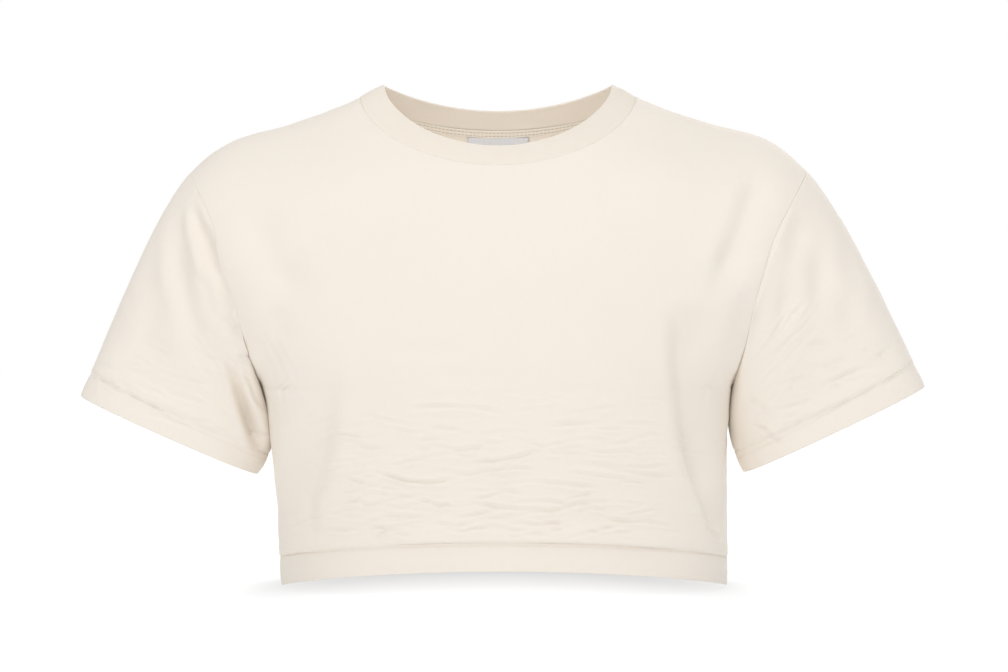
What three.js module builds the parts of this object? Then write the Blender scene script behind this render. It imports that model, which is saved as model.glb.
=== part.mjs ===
// A cropped, short-sleeved top in cotton jersey, as it stands when it is worn, but empty.
// Millimetres, +Z up, +X towards the wearer's left, -Y to the front.
// The origin is midway between the neck ends of the two shoulder seams, where the garment hangs on its wearer.
// Each piece is a thin wall. A panel or sleeve is a grid of points on its outer face, moved in by the cloth's thickness.

import * as THREE from 'three';

// ---------- driving sizes ----------

const CLOTH = 1.2; // wall of one layer of jersey
const TURNED = 2.2; // wall of a turned hem or cuff, two layers
const RIB = 2.0; // wall of the folded neckband
const SEAM_GAP = 0.3; // between two pieces that are sewn together

const HEM_Z = -390; // lowest edge, at the side seams
const HEM_DEPTH = 22; // from the edge to the hem's stitching
const HEM_RISE_FRONT = 18.5; // how far the hem is lifted at the middle of the front
const HEM_RISE_BACK = 8;
const HEM_RISE_SHAPE = 1.3; // how evenly that lift spreads to the sides
const HEM_RISE_ENDS = -290; // height where the rows are level again

const UNDERARM_Z = -233; // where side seam, armhole and sleeve seam meet
const YOKE_Z = -92; // above this level the rows bend round the neck
const NECK_HALF = 110; // from the middle to the neck end of a shoulder seam
const FRONT_NECK_DROP = 58.5; // depth of the band's seam below those ends
const FRONT_NECK_SHAPE = 1.2;
const BACK_NECK_DROP = 22;
const BACK_NECK_SHAPE = 1.6;

const RIM_HALF = 91; // half width of the neckband's free edge
const RIM_RISE = 10; // height of that edge beside the neck
const FRONT_RIM_DROP = 52; // depth of the free edge below its sides, at the front
const FRONT_RIM_SHAPE = 1.23;
const BACK_RIM_DROP = 17.5;
const BACK_RIM_SHAPE = 2;
const FRONT_RIM_OUT = 58.5; // how far forward the free edge stands
const BACK_RIM_OUT = 44;

const TAPE_WALL = 1;
const TAPE_OFF = 0.7; // between the back's inner face and the tape
const TAPE_SHORT = 0.33; // share of its lowest yoke row that the neck tape stops short of
const LABEL_WIDTH = 50;
const LABEL_HEIGHT = 30;
const LABEL_WALL = 1;
const LABEL_OFF = 1.9; // from the back's outer face to the label
const LABEL_BELOW = 1.3; // from the tape's lower edge, on the back's outer face, to the top of the label

const CUFF_DEPTH = 19; // from a sleeve's edge to its stitching
const SLEEVE_LENGTH = 150; // from armhole to cuff edge, as a mean of the way round
const FULLNESS = 0.15; // how much fuller than an ellipse a level of the body is
const EASE_REACH = 22; // step in height over which the middle of the body evens out its width
const EASED_SHARE = 0.5; // share of the half width that is evened out in full

// Levels of the body, hem to shoulder. left and right are where the panels end: side seam, then armhole.
// spread is how far the oval of that level runs on past them into the sleeves. front and back are its depths.
const LEVELS = [
  { z: -390, left: -173, right: 183, spread: 0, front: 108, back: 95 },
  { z: -355, left: -174.5, right: 183, spread: 0, front: 109, back: 96 },
  { z: -320, left: -176, right: 183, spread: 0, front: 111, back: 97 },
  { z: -285, left: -178.5, right: 183, spread: 0, front: 113, back: 99 },
  { z: -260, left: -183, right: 183.5, spread: 0, front: 114.5, back: 101 },
  { z: -233, left: -189, right: 185, spread: 0, front: 115, back: 102 },
  { z: -222, left: -192, right: 187, spread: 5, front: 115, back: 102.5 },
  { z: -210, left: -195.5, right: 189.5, spread: 11, front: 114.5, back: 103 },
  { z: -188, left: -200, right: 195.5, spread: 21, front: 112, back: 103 },
  { z: -166, left: -205, right: 200.5, spread: 31, front: 108.5, back: 102 },
  { z: -145, left: -211.5, right: 206, spread: 39, front: 103.5, back: 100 },
  { z: -120, left: -218, right: 214, spread: 41, front: 96, back: 96 },
  { z: -100, left: -224.5, right: 223, spread: 39, front: 88, back: 91 },
  { z: -80, left: -234.5, right: 235, spread: 33, front: 80, back: 84 },
  { z: -60, left: -245, right: 247, spread: 24, front: 70.5, back: 76 },
  { z: -40, left: -245, right: 247, spread: 18, front: 59, back: 67 },
  { z: -20, left: -245, right: 247, spread: 14, front: 48, back: 57 },
  { z: 20, left: -245, right: 247, spread: 12, front: 34, back: 44 },
];

// The line of the shoulders: its height at a distance from the middle, on each side, and how far below it the cloth
// has turned down to the front or the back.
const SHOULDERS = [
  { out: 0, left: 60, right: 60, turn: 120 },
  { out: 70, left: 31, right: 31, turn: 96 },
  { out: 92, left: 12, right: 12, turn: 86 },
  { out: 110, left: 0, right: 0, turn: 80 },
  { out: 132, left: -10, right: -9, turn: 78 },
  { out: 166, left: -22, right: -20.5, turn: 78 },
  { out: 203, left: -32, right: -29.5, turn: 68 },
  { out: 217, left: -38, right: -35, turn: 58 },
  { out: 232, left: -48, right: -45.5, turn: 50 },
  { out: 250, left: -65, right: -62.5, turn: 44 },
];

// The outer ends of the two shoulder seams
const TIP_RIGHT = -245;
const TIP_LEFT = 247;

// Each sleeve: its side, the ends (x, z) of its cuff at the outer and the inner side, and how much it leans towards the
// body just below the underarm, where it lies along the side seam
const SLEEVES = [
  { name: 'sleeve_left', mark: 1, outer: [342, -231.5], inner: [197, -300.5], lean: 0.03 },
  { name: 'sleeve_right', mark: -1, outer: [-334.5, -239], inner: [-193, -302], lean: 0.2 },
];
const CUFF_HALF_DEPTH = 41; // how far a cuff stands forward and back of its own middle plane
const CUFF_MIDDLE_Y = 6;
const CUFF_FLATNESS = 0.86; // under 1 makes the cuff's oval squarer at its ends
const SLEEVE_START = 0.6; // how strongly a sleeve leaves the armhole along its first direction
const UNDERARM_REACH = 0.25; // share of the way round, each side of the underarm, over which it turns downwards
const UNDERARM_HUG = 1.6; // how much longer the sleeve keeps to the body there before it turns out to the cuff
const UNDERARM_CLEAR = 0.5; // between body and sleeve just under the seam

// Largest soft folds, from one end to the other: a trough has a negative depth, a ridge a positive one.
// They fade over a share of their length at each end, and over a few columns and rows at a panel's edges.
const BODY_FOLD_FADE = 0.3;
const SLEEVE_FOLD_FADE = 0.35;
const SIDE_FADE_COLUMNS = 2;
const TOP_FADE_ROWS = 3;
const BODY_FOLDS = [
  { side: 'front', x1: 133, z1: -205, x2: 178, z2: -352, width: 13, depth: -5 },
  { side: 'front', x1: 112, z1: -230, x2: 150, z2: -352, width: 15, depth: 2.5 },
  { side: 'front', x1: 200, z1: -75, x2: 168, z2: -172, width: 13, depth: -3.5 },
  { side: 'front', x1: -133, z1: -218, x2: -150, z2: -352, width: 14, depth: -3.5 },
  { side: 'front', x1: -198, z1: -90, x2: -160, z2: -160, width: 14, depth: -3 },
  { side: 'back', x1: 128, z1: -190, x2: 165, z2: -345, width: 15, depth: -4.5 },
  { side: 'back', x1: -120, z1: -200, x2: -152, z2: -350, width: 15, depth: -4 },
  { side: 'back', x1: 196, z1: -85, x2: 150, z2: -185, width: 15, depth: -3.5 },
  { side: 'back', x1: -198, z1: -85, x2: -148, z2: -180, width: 15, depth: -3.5 },
];
// On a sleeve, around is 0 at its top, 0.25 in front, 0.5 under the arm and 0.75 behind; along is 0 at the armhole.
const SLEEVE_FOLDS = {
  sleeve_right: [
    { around1: 0.3, along1: 0.15, around2: 0.41, along2: 0.8, width: 0.035, depth: -5 },
    { around1: 0.21, along1: 0.1, around2: 0.2, along2: 0.62, width: 0.05, depth: -3 },
    { around1: 0.73, along1: 0.1, around2: 0.68, along2: 0.7, width: 0.05, depth: -4 },
  ],
  sleeve_left: [
    { around1: 0.2, along1: 0.08, around2: 0.17, along2: 0.55, width: 0.05, depth: -3 },
    { around1: 0.34, along1: 0.2, around2: 0.42, along2: 0.7, width: 0.04, depth: -3.5 },
    { around1: 0.75, along1: 0.1, around2: 0.69, along2: 0.75, width: 0.05, depth: -4 },
  ],
};

// How finely the pieces are faceted
const NECK_COLUMNS = 10;
const SHOULDER_COLUMNS = 7; // on each side
const HEM_ROWS = 1;
const BODY_ROWS = 7; // hem stitching to underarm
const ARMHOLE_ROWS = 9; // underarm to yoke
const YOKE_ROWS = 6;
const SLEEVE_ROWS = 8;
const BAND_ROWS = 2;
const TAPE_ROWS = 2; // yoke rows of the back that the neck tape covers

// ---------- reading the tables ----------

const mix = (a, b, k) => a + (b - a) * k;
const smooth = (k) => {
  const c = Math.min(Math.max(k, 0), 1);
  return c * c * (3 - 2 * c);
};

// The value of a column of a table at a place, on a smooth curve through its rows.
function read(table, key, column, place) {
  const last = table.length - 1;
  const at = Math.min(Math.max(place, table[0][key]), table[last][key]);
  let row = 0;
  while (row < last - 1 && at > table[row + 1][key]) row += 1;
  const slope = (i) => {
    const a = table[Math.max(i - 1, 0)];
    const b = table[Math.min(i + 1, last)];
    return (b[column] - a[column]) / (b[key] - a[key]);
  };
  const low = table[row];
  const high = table[row + 1];
  const step = high[key] - low[key];
  const k = (at - low[key]) / step;
  const k2 = k * k;
  const k3 = k2 * k;
  return (
    (2 * k3 - 3 * k2 + 1) * low[column] +
    (k3 - 2 * k2 + k) * step * slope(row) +
    (3 * k2 - 2 * k3) * high[column] +
    (k3 - k2) * step * slope(row + 1)
  );
}

const level = (column, z) => read(LEVELS, 'z', column, z);
const shoulderZ = (x) => read(SHOULDERS, 'out', x < 0 ? 'left' : 'right', Math.abs(x));

// ---------- the body's form ----------

// The oval of a level: its middle, its half width and the share of that half width where the panels end.
function oval(z) {
  const middle = (level('left', z) + level('right', z)) / 2;
  const panel = (level('right', z) - level('left', z)) / 2;
  const half = panel + Math.max(level('spread', z), 0);
  return { middle, half, share: Math.min(panel / half, 1) };
}

// The half width that the middle of a level follows: it changes more gently than at the sides, so that the underarm
// leaves no line across the chest.
function easedHalf(z) {
  const near = [-2, -1, 0, 1, 2].map((k) => oval(z + k * EASE_REACH).half);
  return near.reduce((sum, half) => sum + half) / near.length;
}

// How far the cloth stands in front of, or behind, the plane of the side and shoulder seams.
function depth(side, x, z) {
  const { middle, half } = oval(z);
  const out = Math.abs(x - middle);
  const width = mix(easedHalf(z), half, smooth((out / half - EASED_SHARE) / (1 - EASED_SHARE)));
  const u = Math.min(out / width, 1);
  const round = Math.sqrt(1 - u * u) * (1 + FULLNESS * u * u);
  const below = (shoulderZ(x) - z) / read(SHOULDERS, 'out', 'turn', Math.abs(x));
  const turned = Math.min(Math.max(below, 0), 1);
  return level(side, z) * round * Math.sqrt(turned * (2 - turned));
}

// A place on the neck seam in front view. turn runs from -1 at the right shoulder seam to 1 at the left one.
function neckPlace(side, turn) {
  const angle = (turn * Math.PI) / 2;
  const drop = side === 'front' ? FRONT_NECK_DROP : BACK_NECK_DROP;
  const shape = side === 'front' ? FRONT_NECK_SHAPE : BACK_NECK_SHAPE;
  return { x: NECK_HALF * Math.sin(angle), z: -drop * Math.pow(Math.max(Math.cos(angle), 0), shape) };
}

// A panel's columns run from -1 at its right edge to 1 at its left one; NECK_SHARE of them end at the neck.
const NECK_SHARE = 0.4;
function topPlace(side, across) {
  if (Math.abs(across) <= NECK_SHARE) return neckPlace(side, across / NECK_SHARE);
  const k = (Math.abs(across) - NECK_SHARE) / (1 - NECK_SHARE);
  const x = mix(Math.sign(across) * NECK_HALF, across < 0 ? TIP_RIGHT : TIP_LEFT, k);
  return { x, z: shoulderZ(x) };
}

function levelPlace(across, z) {
  const { middle, half, share } = oval(z);
  return { x: middle + half * Math.sin(across * Math.asin(share)), z };
}

// A place on a panel in front view: row heights are given at the side, in the yoke as a share of its height.
function panelPlace(side, across, row) {
  if (row.yoke !== undefined) {
    const low = levelPlace(across, YOKE_Z);
    const top = topPlace(side, across);
    const k = Math.sin((row.yoke * Math.PI) / 2);
    return { x: mix(low.x, top.x, k), z: mix(low.z, top.z, k) };
  }
  const rise = side === 'front' ? HEM_RISE_FRONT : HEM_RISE_BACK;
  const share = smooth((HEM_RISE_ENDS - row.z) / (HEM_RISE_ENDS - HEM_Z));
  const round = Math.pow(Math.max(Math.cos((across * Math.PI) / 2), 0), HEM_RISE_SHAPE);
  return levelPlace(across, row.z + rise * share * round);
}

// How far the folds move the cloth out at a place of a panel.
function drape(side, x, z) {
  let sum = 0;
  for (const f of BODY_FOLDS) {
    if (f.side !== side) continue;
    const run = new THREE.Vector2(f.x2 - f.x1, f.z2 - f.z1);
    const long = run.length();
    const from = new THREE.Vector2(x - f.x1, z - f.z1);
    const along = from.dot(run) / long / long;
    const aside = (from.x * run.y - from.y * run.x) / long;
    const ends = smooth(along / BODY_FOLD_FADE) * smooth((1 - along) / BODY_FOLD_FADE);
    sum += f.depth * ends * Math.exp(-((aside / f.width) ** 2));
  }
  return sum;
}

// ---------- walls from grids ----------

// Outward directions of a grid whose rows are lists of points. flip is -1 where the rows and columns run the other way.
function normals(rows, flip, closed) {
  const wide = rows[0].length;
  return rows.map((row, i) =>
    row.map((_, j) => {
      const left = closed ? (j + wide - 1) % wide : Math.max(j - 1, 0);
      const right = closed ? (j + 1) % wide : Math.min(j + 1, wide - 1);
      const below = rows[Math.max(i - 1, 0)][j];
      const above = rows[Math.min(i + 1, rows.length - 1)][j];
      const acrossway = row[right].clone().sub(row[left]);
      const upway = above.clone().sub(below);
      return acrossway.cross(upway).normalize().multiplyScalar(flip);
    })
  );
}

// A closed wall: the outer grid, the same grid moved in by its thickness, and the edges between the two.
function wall(outer, outward, thickness, flip, closed) {
  const tall = outer.length;
  const wide = outer[0].length;
  const inner = outer.map((row, i) =>
    row.map((p, j) => p.clone().addScaledVector(outward[i][j], -thickness(i, j)))
  );
  const positions = [...outer.flat(), ...inner.flat()].flatMap((p) => [p.x, p.y, p.z]);
  const faces = [];
  const quad = (a, b, c, d) => faces.push(...(flip > 0 ? [a, b, c, a, c, d] : [a, c, b, a, d, c]));
  const out = (i, j) => i * wide + (j % wide);
  const into = (i, j) => tall * wide + out(i, j);
  const steps = closed ? wide : wide - 1;
  for (let i = 0; i < tall - 1; i += 1) {
    for (let j = 0; j < steps; j += 1) {
      quad(out(i, j), out(i, j + 1), out(i + 1, j + 1), out(i + 1, j));
      quad(into(i, j), into(i + 1, j), into(i + 1, j + 1), into(i, j + 1));
    }
    if (!closed) {
      quad(out(i, 0), out(i + 1, 0), into(i + 1, 0), into(i, 0));
      quad(out(i, wide - 1), into(i, wide - 1), into(i + 1, wide - 1), out(i + 1, wide - 1));
    }
  }
  for (let j = 0; j < steps; j += 1) {
    quad(out(0, j), into(0, j), into(0, j + 1), out(0, j + 1));
    quad(out(tall - 1, j), out(tall - 1, j + 1), into(tall - 1, j + 1), into(tall - 1, j));
  }
  const geometry = new THREE.BufferGeometry();
  geometry.setAttribute('position', new THREE.Float32BufferAttribute(positions, 3));
  geometry.setIndex(faces);
  geometry.computeVertexNormals();
  return geometry;
}

function piece(name, geometry, material) {
  const mesh = new THREE.Mesh(geometry, material);
  mesh.name = name;
  return mesh;
}

// ---------- front and back ----------

function panelColumns() {
  const columns = [];
  for (let j = 0; j < SHOULDER_COLUMNS; j += 1) columns.push(mix(-1, -NECK_SHARE, j / SHOULDER_COLUMNS));
  for (let j = 0; j < NECK_COLUMNS; j += 1) columns.push(mix(-NECK_SHARE, NECK_SHARE, j / NECK_COLUMNS));
  for (let j = 0; j <= SHOULDER_COLUMNS; j += 1) columns.push(mix(NECK_SHARE, 1, j / SHOULDER_COLUMNS));
  return columns;
}

function panelRows() {
  const rows = [];
  for (let i = 0; i < HEM_ROWS; i += 1) rows.push({ z: mix(HEM_Z, HEM_Z + HEM_DEPTH, i / HEM_ROWS), hem: true });
  for (let i = 0; i < BODY_ROWS; i += 1) rows.push({ z: mix(HEM_Z + HEM_DEPTH, UNDERARM_Z, i / BODY_ROWS) });
  for (let i = 0; i < ARMHOLE_ROWS; i += 1) {
    // the rows are close together just above the underarm, where the armhole turns
    rows.push({ z: mix(UNDERARM_Z, YOKE_Z, (i / ARMHOLE_ROWS) ** 1.5) });
  }
  for (let i = 0; i <= YOKE_ROWS; i += 1) rows.push({ yoke: i / YOKE_ROWS });
  return rows;
}

const COLUMNS = panelColumns();
const ROWS = panelRows();
const UNDERARM_ROW = HEM_ROWS + BODY_ROWS;

function panel(side) {
  const away = side === 'front' ? -1 : 1;
  const flip = -away;
  const base = ROWS.map((row) =>
    COLUMNS.map((across) => {
      const { x, z } = panelPlace(side, across, row);
      return new THREE.Vector3(x, away * (depth(side, x, z) + SEAM_GAP / 2), z);
    })
  );
  const outward = normals(base, flip, false);
  // at the side and shoulder seams front and back face each other squarely
  for (let i = 0; i <= UNDERARM_ROW; i += 1) {
    outward[i][0].setY(0).normalize();
    outward[i][COLUMNS.length - 1].setY(0).normalize();
  }
  COLUMNS.forEach((across, j) => {
    if (Math.abs(across) < NECK_SHARE) return;
    const { x } = base[ROWS.length - 1][j];
    outward[ROWS.length - 1][j].set(shoulderZ(x - 1) - shoulderZ(x + 1), 0, 2).normalize();
  });
  const edge = (i, j) => {
    const fromSide = Math.min(j, COLUMNS.length - 1 - j) / SIDE_FADE_COLUMNS;
    const fromTop = (ROWS.length - 1 - i) / TOP_FADE_ROWS;
    return smooth(fromSide) * smooth(fromTop);
  };
  const outer = base.map((row, i) =>
    row.map((p, j) => p.clone().addScaledVector(outward[i][j], drape(side, p.x, p.z) * edge(i, j)))
  );
  return { outer, outward, flip };
}

const thick = (i) => (ROWS[i].hem ? TURNED : CLOTH);

// ---------- sleeves ----------

// The armhole as a loop of panel points: from the shoulder tip down the front, under the arm and up the back.
function armhole(front, back, mark) {
  const j = mark > 0 ? COLUMNS.length - 1 : 0;
  const loop = [];
  for (let i = ROWS.length - 1; i >= UNDERARM_ROW; i -= 1) loop.push({ p: front.outer[i][j], n: front.outward[i][j] });
  for (let i = UNDERARM_ROW + 1; i < ROWS.length - 1; i += 1) loop.push({ p: back.outer[i][j], n: back.outward[i][j] });
  return loop;
}

// Shares of the way round the loop, by length, with 0.5 set at the underarm.
function shares(loop) {
  const lengths = [0];
  loop.forEach(({ p }, k) => lengths.push(lengths[k] + p.distanceTo(loop[(k + 1) % loop.length].p)));
  const under = ROWS.length - 1 - UNDERARM_ROW;
  const total = lengths[loop.length];
  return loop.map((_, k) => {
    const half = lengths[under];
    return k <= under ? (0.5 * lengths[k]) / half : 0.5 + (0.5 * (lengths[k] - half)) / (total - half);
  });
}

function sleeve(spec, front, back) {
  const loop = armhole(front, back, spec.mark);
  const around = shares(loop);
  const outerEnd = new THREE.Vector3(spec.outer[0], CUFF_MIDDLE_Y, spec.outer[1]);
  const innerEnd = new THREE.Vector3(spec.inner[0], CUFF_MIDDLE_Y, spec.inner[1]);
  const centre = outerEnd.clone().lerp(innerEnd, 0.5);
  const toOuter = outerEnd.clone().sub(centre);
  const axis = new THREE.Vector3(-toOuter.z, 0, toOuter.x).normalize().multiplyScalar(-spec.mark);
  const under = new THREE.Vector3(-spec.mark * spec.lean, 0, -1).normalize();
  const columns = loop.map(({ p, n }, k) => {
    const angle = around[k] * 2 * Math.PI;
    const folded = smooth((UNDERARM_REACH - Math.abs(around[k] - 0.5)) / UNDERARM_REACH);
    const clear = n.clone().multiplyScalar(UNDERARM_CLEAR * folded);
    const inCloth = axis.clone().addScaledVector(n, -axis.dot(n)).normalize();
    const start = inCloth.lerp(under, folded).normalize();
    const before = loop[(k + loop.length - 1) % loop.length].p;
    const after = loop[(k + 1) % loop.length].p;
    const beyond = n.clone().cross(after.clone().sub(before)).normalize().multiplyScalar(spec.mark);
    const first = p.clone().addScaledVector(beyond, SEAM_GAP).add(clear);
    const c = Math.cos(angle);
    const s = Math.sin(angle);
    const last = centre
      .clone()
      .addScaledVector(toOuter, Math.sign(c) * Math.abs(c) ** CUFF_FLATNESS)
      .add(new THREE.Vector3(0, -CUFF_HALF_DEPTH * Math.sign(s) * Math.abs(s) ** CUFF_FLATNESS, 0));
    const long = first.distanceTo(last);
    return { first, last, start, long, turn: long * mix(1, UNDERARM_HUG, folded) };
  });
  const cuffShare = 1 - CUFF_DEPTH / SLEEVE_LENGTH;
  const steps = [];
  for (let i = 0; i < SLEEVE_ROWS; i += 1) steps.push(mix(0, cuffShare, i / (SLEEVE_ROWS - 1)));
  steps.push(1);
  const base = steps.map((k) =>
    columns.map(({ first, last, start, long, turn }) => {
      const k2 = k * k;
      const k3 = k2 * k;
      return first
        .clone()
        .multiplyScalar(2 * k3 - 3 * k2 + 1)
        .addScaledVector(start, (k3 - 2 * k2 + k) * long * SLEEVE_START)
        .addScaledVector(last, 3 * k2 - 2 * k3)
        .addScaledVector(axis, (k3 - k2) * turn);
    })
  );
  const flip = spec.mark;
  const outward = normals(base, flip, true);
  const outer = base.map((row, i) =>
    row.map((p, j) => {
      let move = 0;
      for (const f of SLEEVE_FOLDS[spec.name]) {
        const k = (steps[i] - f.along1) / (f.along2 - f.along1);
        const aside = around[j] - mix(f.around1, f.around2, k);
        move += f.depth * smooth(k / SLEEVE_FOLD_FADE) * smooth((1 - k) / SLEEVE_FOLD_FADE) * Math.exp(-((aside / f.width) ** 2));
      }
      return p.clone().addScaledVector(outward[i][j], move);
    })
  );
  const thickness = (i) => (i >= steps.length - 2 ? TURNED : CLOTH);
  return wall(outer, outward, thickness, flip, true);
}

// ---------- neckband, tape and label ----------

// A place on the neckband's free edge; turn runs from -1 to 1 as on the neck seam.
function rimPlace(side, turn) {
  const angle = (turn * Math.PI) / 2;
  const c = Math.max(Math.cos(angle), 0);
  const front = side === 'front';
  const drop = front ? FRONT_RIM_DROP * c ** FRONT_RIM_SHAPE : BACK_RIM_DROP * c ** BACK_RIM_SHAPE;
  return new THREE.Vector3(RIM_HALF * Math.sin(angle), front ? -FRONT_RIM_OUT * c : BACK_RIM_OUT * c, RIM_RISE - drop);
}

function neckband(front, back) {
  const top = ROWS.length - 1;
  const first = SHOULDER_COLUMNS;
  const seam = [];
  for (let k = 0; k <= NECK_COLUMNS; k += 1) {
    const j = first + k;
    const p = front.outer[top][j].clone();
    const n = front.outward[top][j].clone();
    if (k === 0 || k === NECK_COLUMNS) {
      // the band crosses the shoulder seam here
      p.setY(0);
      n.add(back.outward[top][j]).normalize();
    }
    seam.push({ p, n, rim: rimPlace('front', COLUMNS[j] / NECK_SHARE) });
  }
  for (let k = NECK_COLUMNS - 1; k > 0; k -= 1) {
    const j = first + k;
    seam.push({ p: back.outer[top][j], n: back.outward[top][j], rim: rimPlace('back', COLUMNS[j] / NECK_SHARE) });
  }
  const base = seam.map(({ p, n }, j) => {
    const before = seam[(j + seam.length - 1) % seam.length].p;
    const after = seam[(j + 1) % seam.length].p;
    const beyond = n.clone().cross(after.clone().sub(before)).normalize();
    return p.clone().addScaledVector(beyond, SEAM_GAP);
  });
  const rows = [];
  for (let i = 0; i <= BAND_ROWS; i += 1) rows.push(seam.map(({ rim }, j) => base[j].clone().lerp(rim, i / BAND_ROWS)));
  const outward = normals(rows, 1, true);
  seam.forEach(({ n }, j) => outward[0][j].copy(n));
  return wall(rows, outward, (i) => (i === 0 ? CLOTH : RIB), 1, true);
}

// The tape's lower edge on a column of the back's outer face: between two rows, so that it stays on a facet.
function tapeEdge(back, j) {
  const low = ROWS.length - 1 - TAPE_ROWS;
  return {
    p: back.outer[low][j].clone().lerp(back.outer[low + 1][j], TAPE_SHORT),
    n: back.outward[low][j].clone().lerp(back.outward[low + 1][j], TAPE_SHORT).normalize(),
  };
}

// The tape lies on the back's own points, over the top rows of its yoke, and stops short of the shoulder seams.
function neckTape(back) {
  const columns = COLUMNS.map((_, j) => j).slice(SHOULDER_COLUMNS + 1, SHOULDER_COLUMNS + NECK_COLUMNS);
  const grid = [columns.map((j) => tapeEdge(back, j))];
  for (let i = ROWS.length - TAPE_ROWS; i < ROWS.length; i += 1) {
    grid.push(columns.map((j) => ({ p: back.outer[i][j], n: back.outward[i][j] })));
  }
  const rows = grid.map((row) => row.map(({ p, n }) => p.clone().addScaledVector(n, -CLOTH - TAPE_OFF)));
  const outward = grid.map((row) => row.map(({ n }) => n));
  return wall(rows, outward, () => TAPE_WALL, -1, false);
}

// The label hangs inside the back from just under the tape, a little off the cloth.
function label(back) {
  const under = tapeEdge(back, SHOULDER_COLUMNS + NECK_COLUMNS / 2).p.z - LABEL_BELOW;
  const rows = [1, 0.5, 0].map((down) =>
    [-0.5, -0.25, 0, 0.25, 0.5].map((k) => {
      const x = k * LABEL_WIDTH;
      const z = under - down * LABEL_HEIGHT;
      return new THREE.Vector3(x, depth('back', x, z) - LABEL_OFF, z);
    })
  );
  return wall(rows, normals(rows, -1, false), () => LABEL_WALL, -1, false);
}

// ---------- the garment ----------

const jersey = new THREE.MeshStandardMaterial({ name: 'jersey', color: 0xf3ecdf, roughness: 0.92 });
const rib = new THREE.MeshStandardMaterial({ name: 'rib', color: 0xf1e9db, roughness: 0.92 });
const tape = new THREE.MeshStandardMaterial({ name: 'tape', color: 0xe3d9c8, roughness: 0.9 });
const satin = new THREE.MeshStandardMaterial({ name: 'label_satin', color: 0xd9dbde, roughness: 0.6 });

const garment = new THREE.Group();
const front = panel('front');
const back = panel('back');
garment.add(piece('front', wall(front.outer, front.outward, thick, front.flip, false), jersey));
garment.add(piece('back', wall(back.outer, back.outward, thick, back.flip, false), jersey));
for (const spec of SLEEVES) garment.add(piece(spec.name, sleeve(spec, front, back), jersey));
garment.add(piece('neckband', neckband(front, back), rib));
garment.add(piece('neck_tape', neckTape(back), tape));
garment.add(piece('label', label(back), satin));

export default garment;
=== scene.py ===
# A cropped, short-sleeved top in cream cotton jersey, as it stands when it is worn, but empty.
# Garment sizes are in millimetres, with +Z up, +X towards the wearer's left and -Y to the front, and MM turns
# them into metres where a mesh is made. Camera, lights and floor are in metres.

import math

import bpy
import numpy as np
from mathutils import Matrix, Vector


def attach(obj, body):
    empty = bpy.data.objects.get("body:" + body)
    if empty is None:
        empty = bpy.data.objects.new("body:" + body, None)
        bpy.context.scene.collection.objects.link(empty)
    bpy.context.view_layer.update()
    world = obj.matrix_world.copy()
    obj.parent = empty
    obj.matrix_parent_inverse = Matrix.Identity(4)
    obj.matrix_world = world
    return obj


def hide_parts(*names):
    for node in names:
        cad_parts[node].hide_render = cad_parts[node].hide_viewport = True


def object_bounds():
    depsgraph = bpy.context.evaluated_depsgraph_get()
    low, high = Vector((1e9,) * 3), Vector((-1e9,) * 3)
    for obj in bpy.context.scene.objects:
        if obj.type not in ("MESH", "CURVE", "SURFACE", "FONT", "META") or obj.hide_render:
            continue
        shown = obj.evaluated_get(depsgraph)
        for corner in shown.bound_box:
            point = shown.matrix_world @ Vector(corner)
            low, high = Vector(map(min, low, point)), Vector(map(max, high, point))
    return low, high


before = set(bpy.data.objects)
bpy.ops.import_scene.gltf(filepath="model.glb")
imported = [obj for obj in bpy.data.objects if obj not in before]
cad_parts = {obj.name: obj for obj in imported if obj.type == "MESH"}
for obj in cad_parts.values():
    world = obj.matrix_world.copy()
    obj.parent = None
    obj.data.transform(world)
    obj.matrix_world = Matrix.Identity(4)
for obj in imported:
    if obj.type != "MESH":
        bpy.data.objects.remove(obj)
cad_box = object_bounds()

MM = 0.001

# ---------- driving sizes ----------

CLOTH = 1.2  # wall of one layer of jersey
TURNED = 2.2  # wall of a turned hem or cuff, two layers
BAND_WALL = 2.2  # wall of the folded neckband
SEAM_GAP = 0.08  # between two edges that are sewn together
SEAM_ROUND = 0.9  # how far from a seam the cloth starts to roll into it
SEAM_SHARE = 0.3  # share of its half thickness that is left at the seam
FLAT_SEAM_SHARE = 0.85  # and where the seam is pressed flat

HEM_Z = -390  # lowest edge, at the side seams
HEM_DEPTH = 22  # from the edge to the hem's stitching
HEM_RISE = {"front": 18.5, "back": 8}  # lift of the hem at the middle of each panel
HEM_RISE_SHAPE = 1.3
HEM_RISE_ENDS = -290  # height where the rows are level again

UNDERARM_Z = -233
YOKE_Z = -92  # above this level the rows bend round the neck
NECK_HALF = 110
NECK_DROP = {"front": 58.5, "back": 22}  # depth of the band's seam below the shoulder seams' neck ends
NECK_SHAPE = {"front": 1.2, "back": 1.6}
NECK_SHARE = 0.4  # share of a panel's columns that end at the neck

RIM_HALF = 91  # half width of the neckband's free edge
RIM_RISE = 10
RIM_DROP = {"front": 52, "back": 17.5}
RIM_SHAPE = {"front": 1.23, "back": 2}
RIM_OUT = {"front": -58.5, "back": 44}

CUFF_DEPTH = 19  # from a sleeve's edge to its stitching
CUFF_HALF_DEPTH = 41
CUFF_MIDDLE_Y = 6
CUFF_FLATNESS = 0.86  # under 1 makes the cuff's oval squarer at its ends

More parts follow.
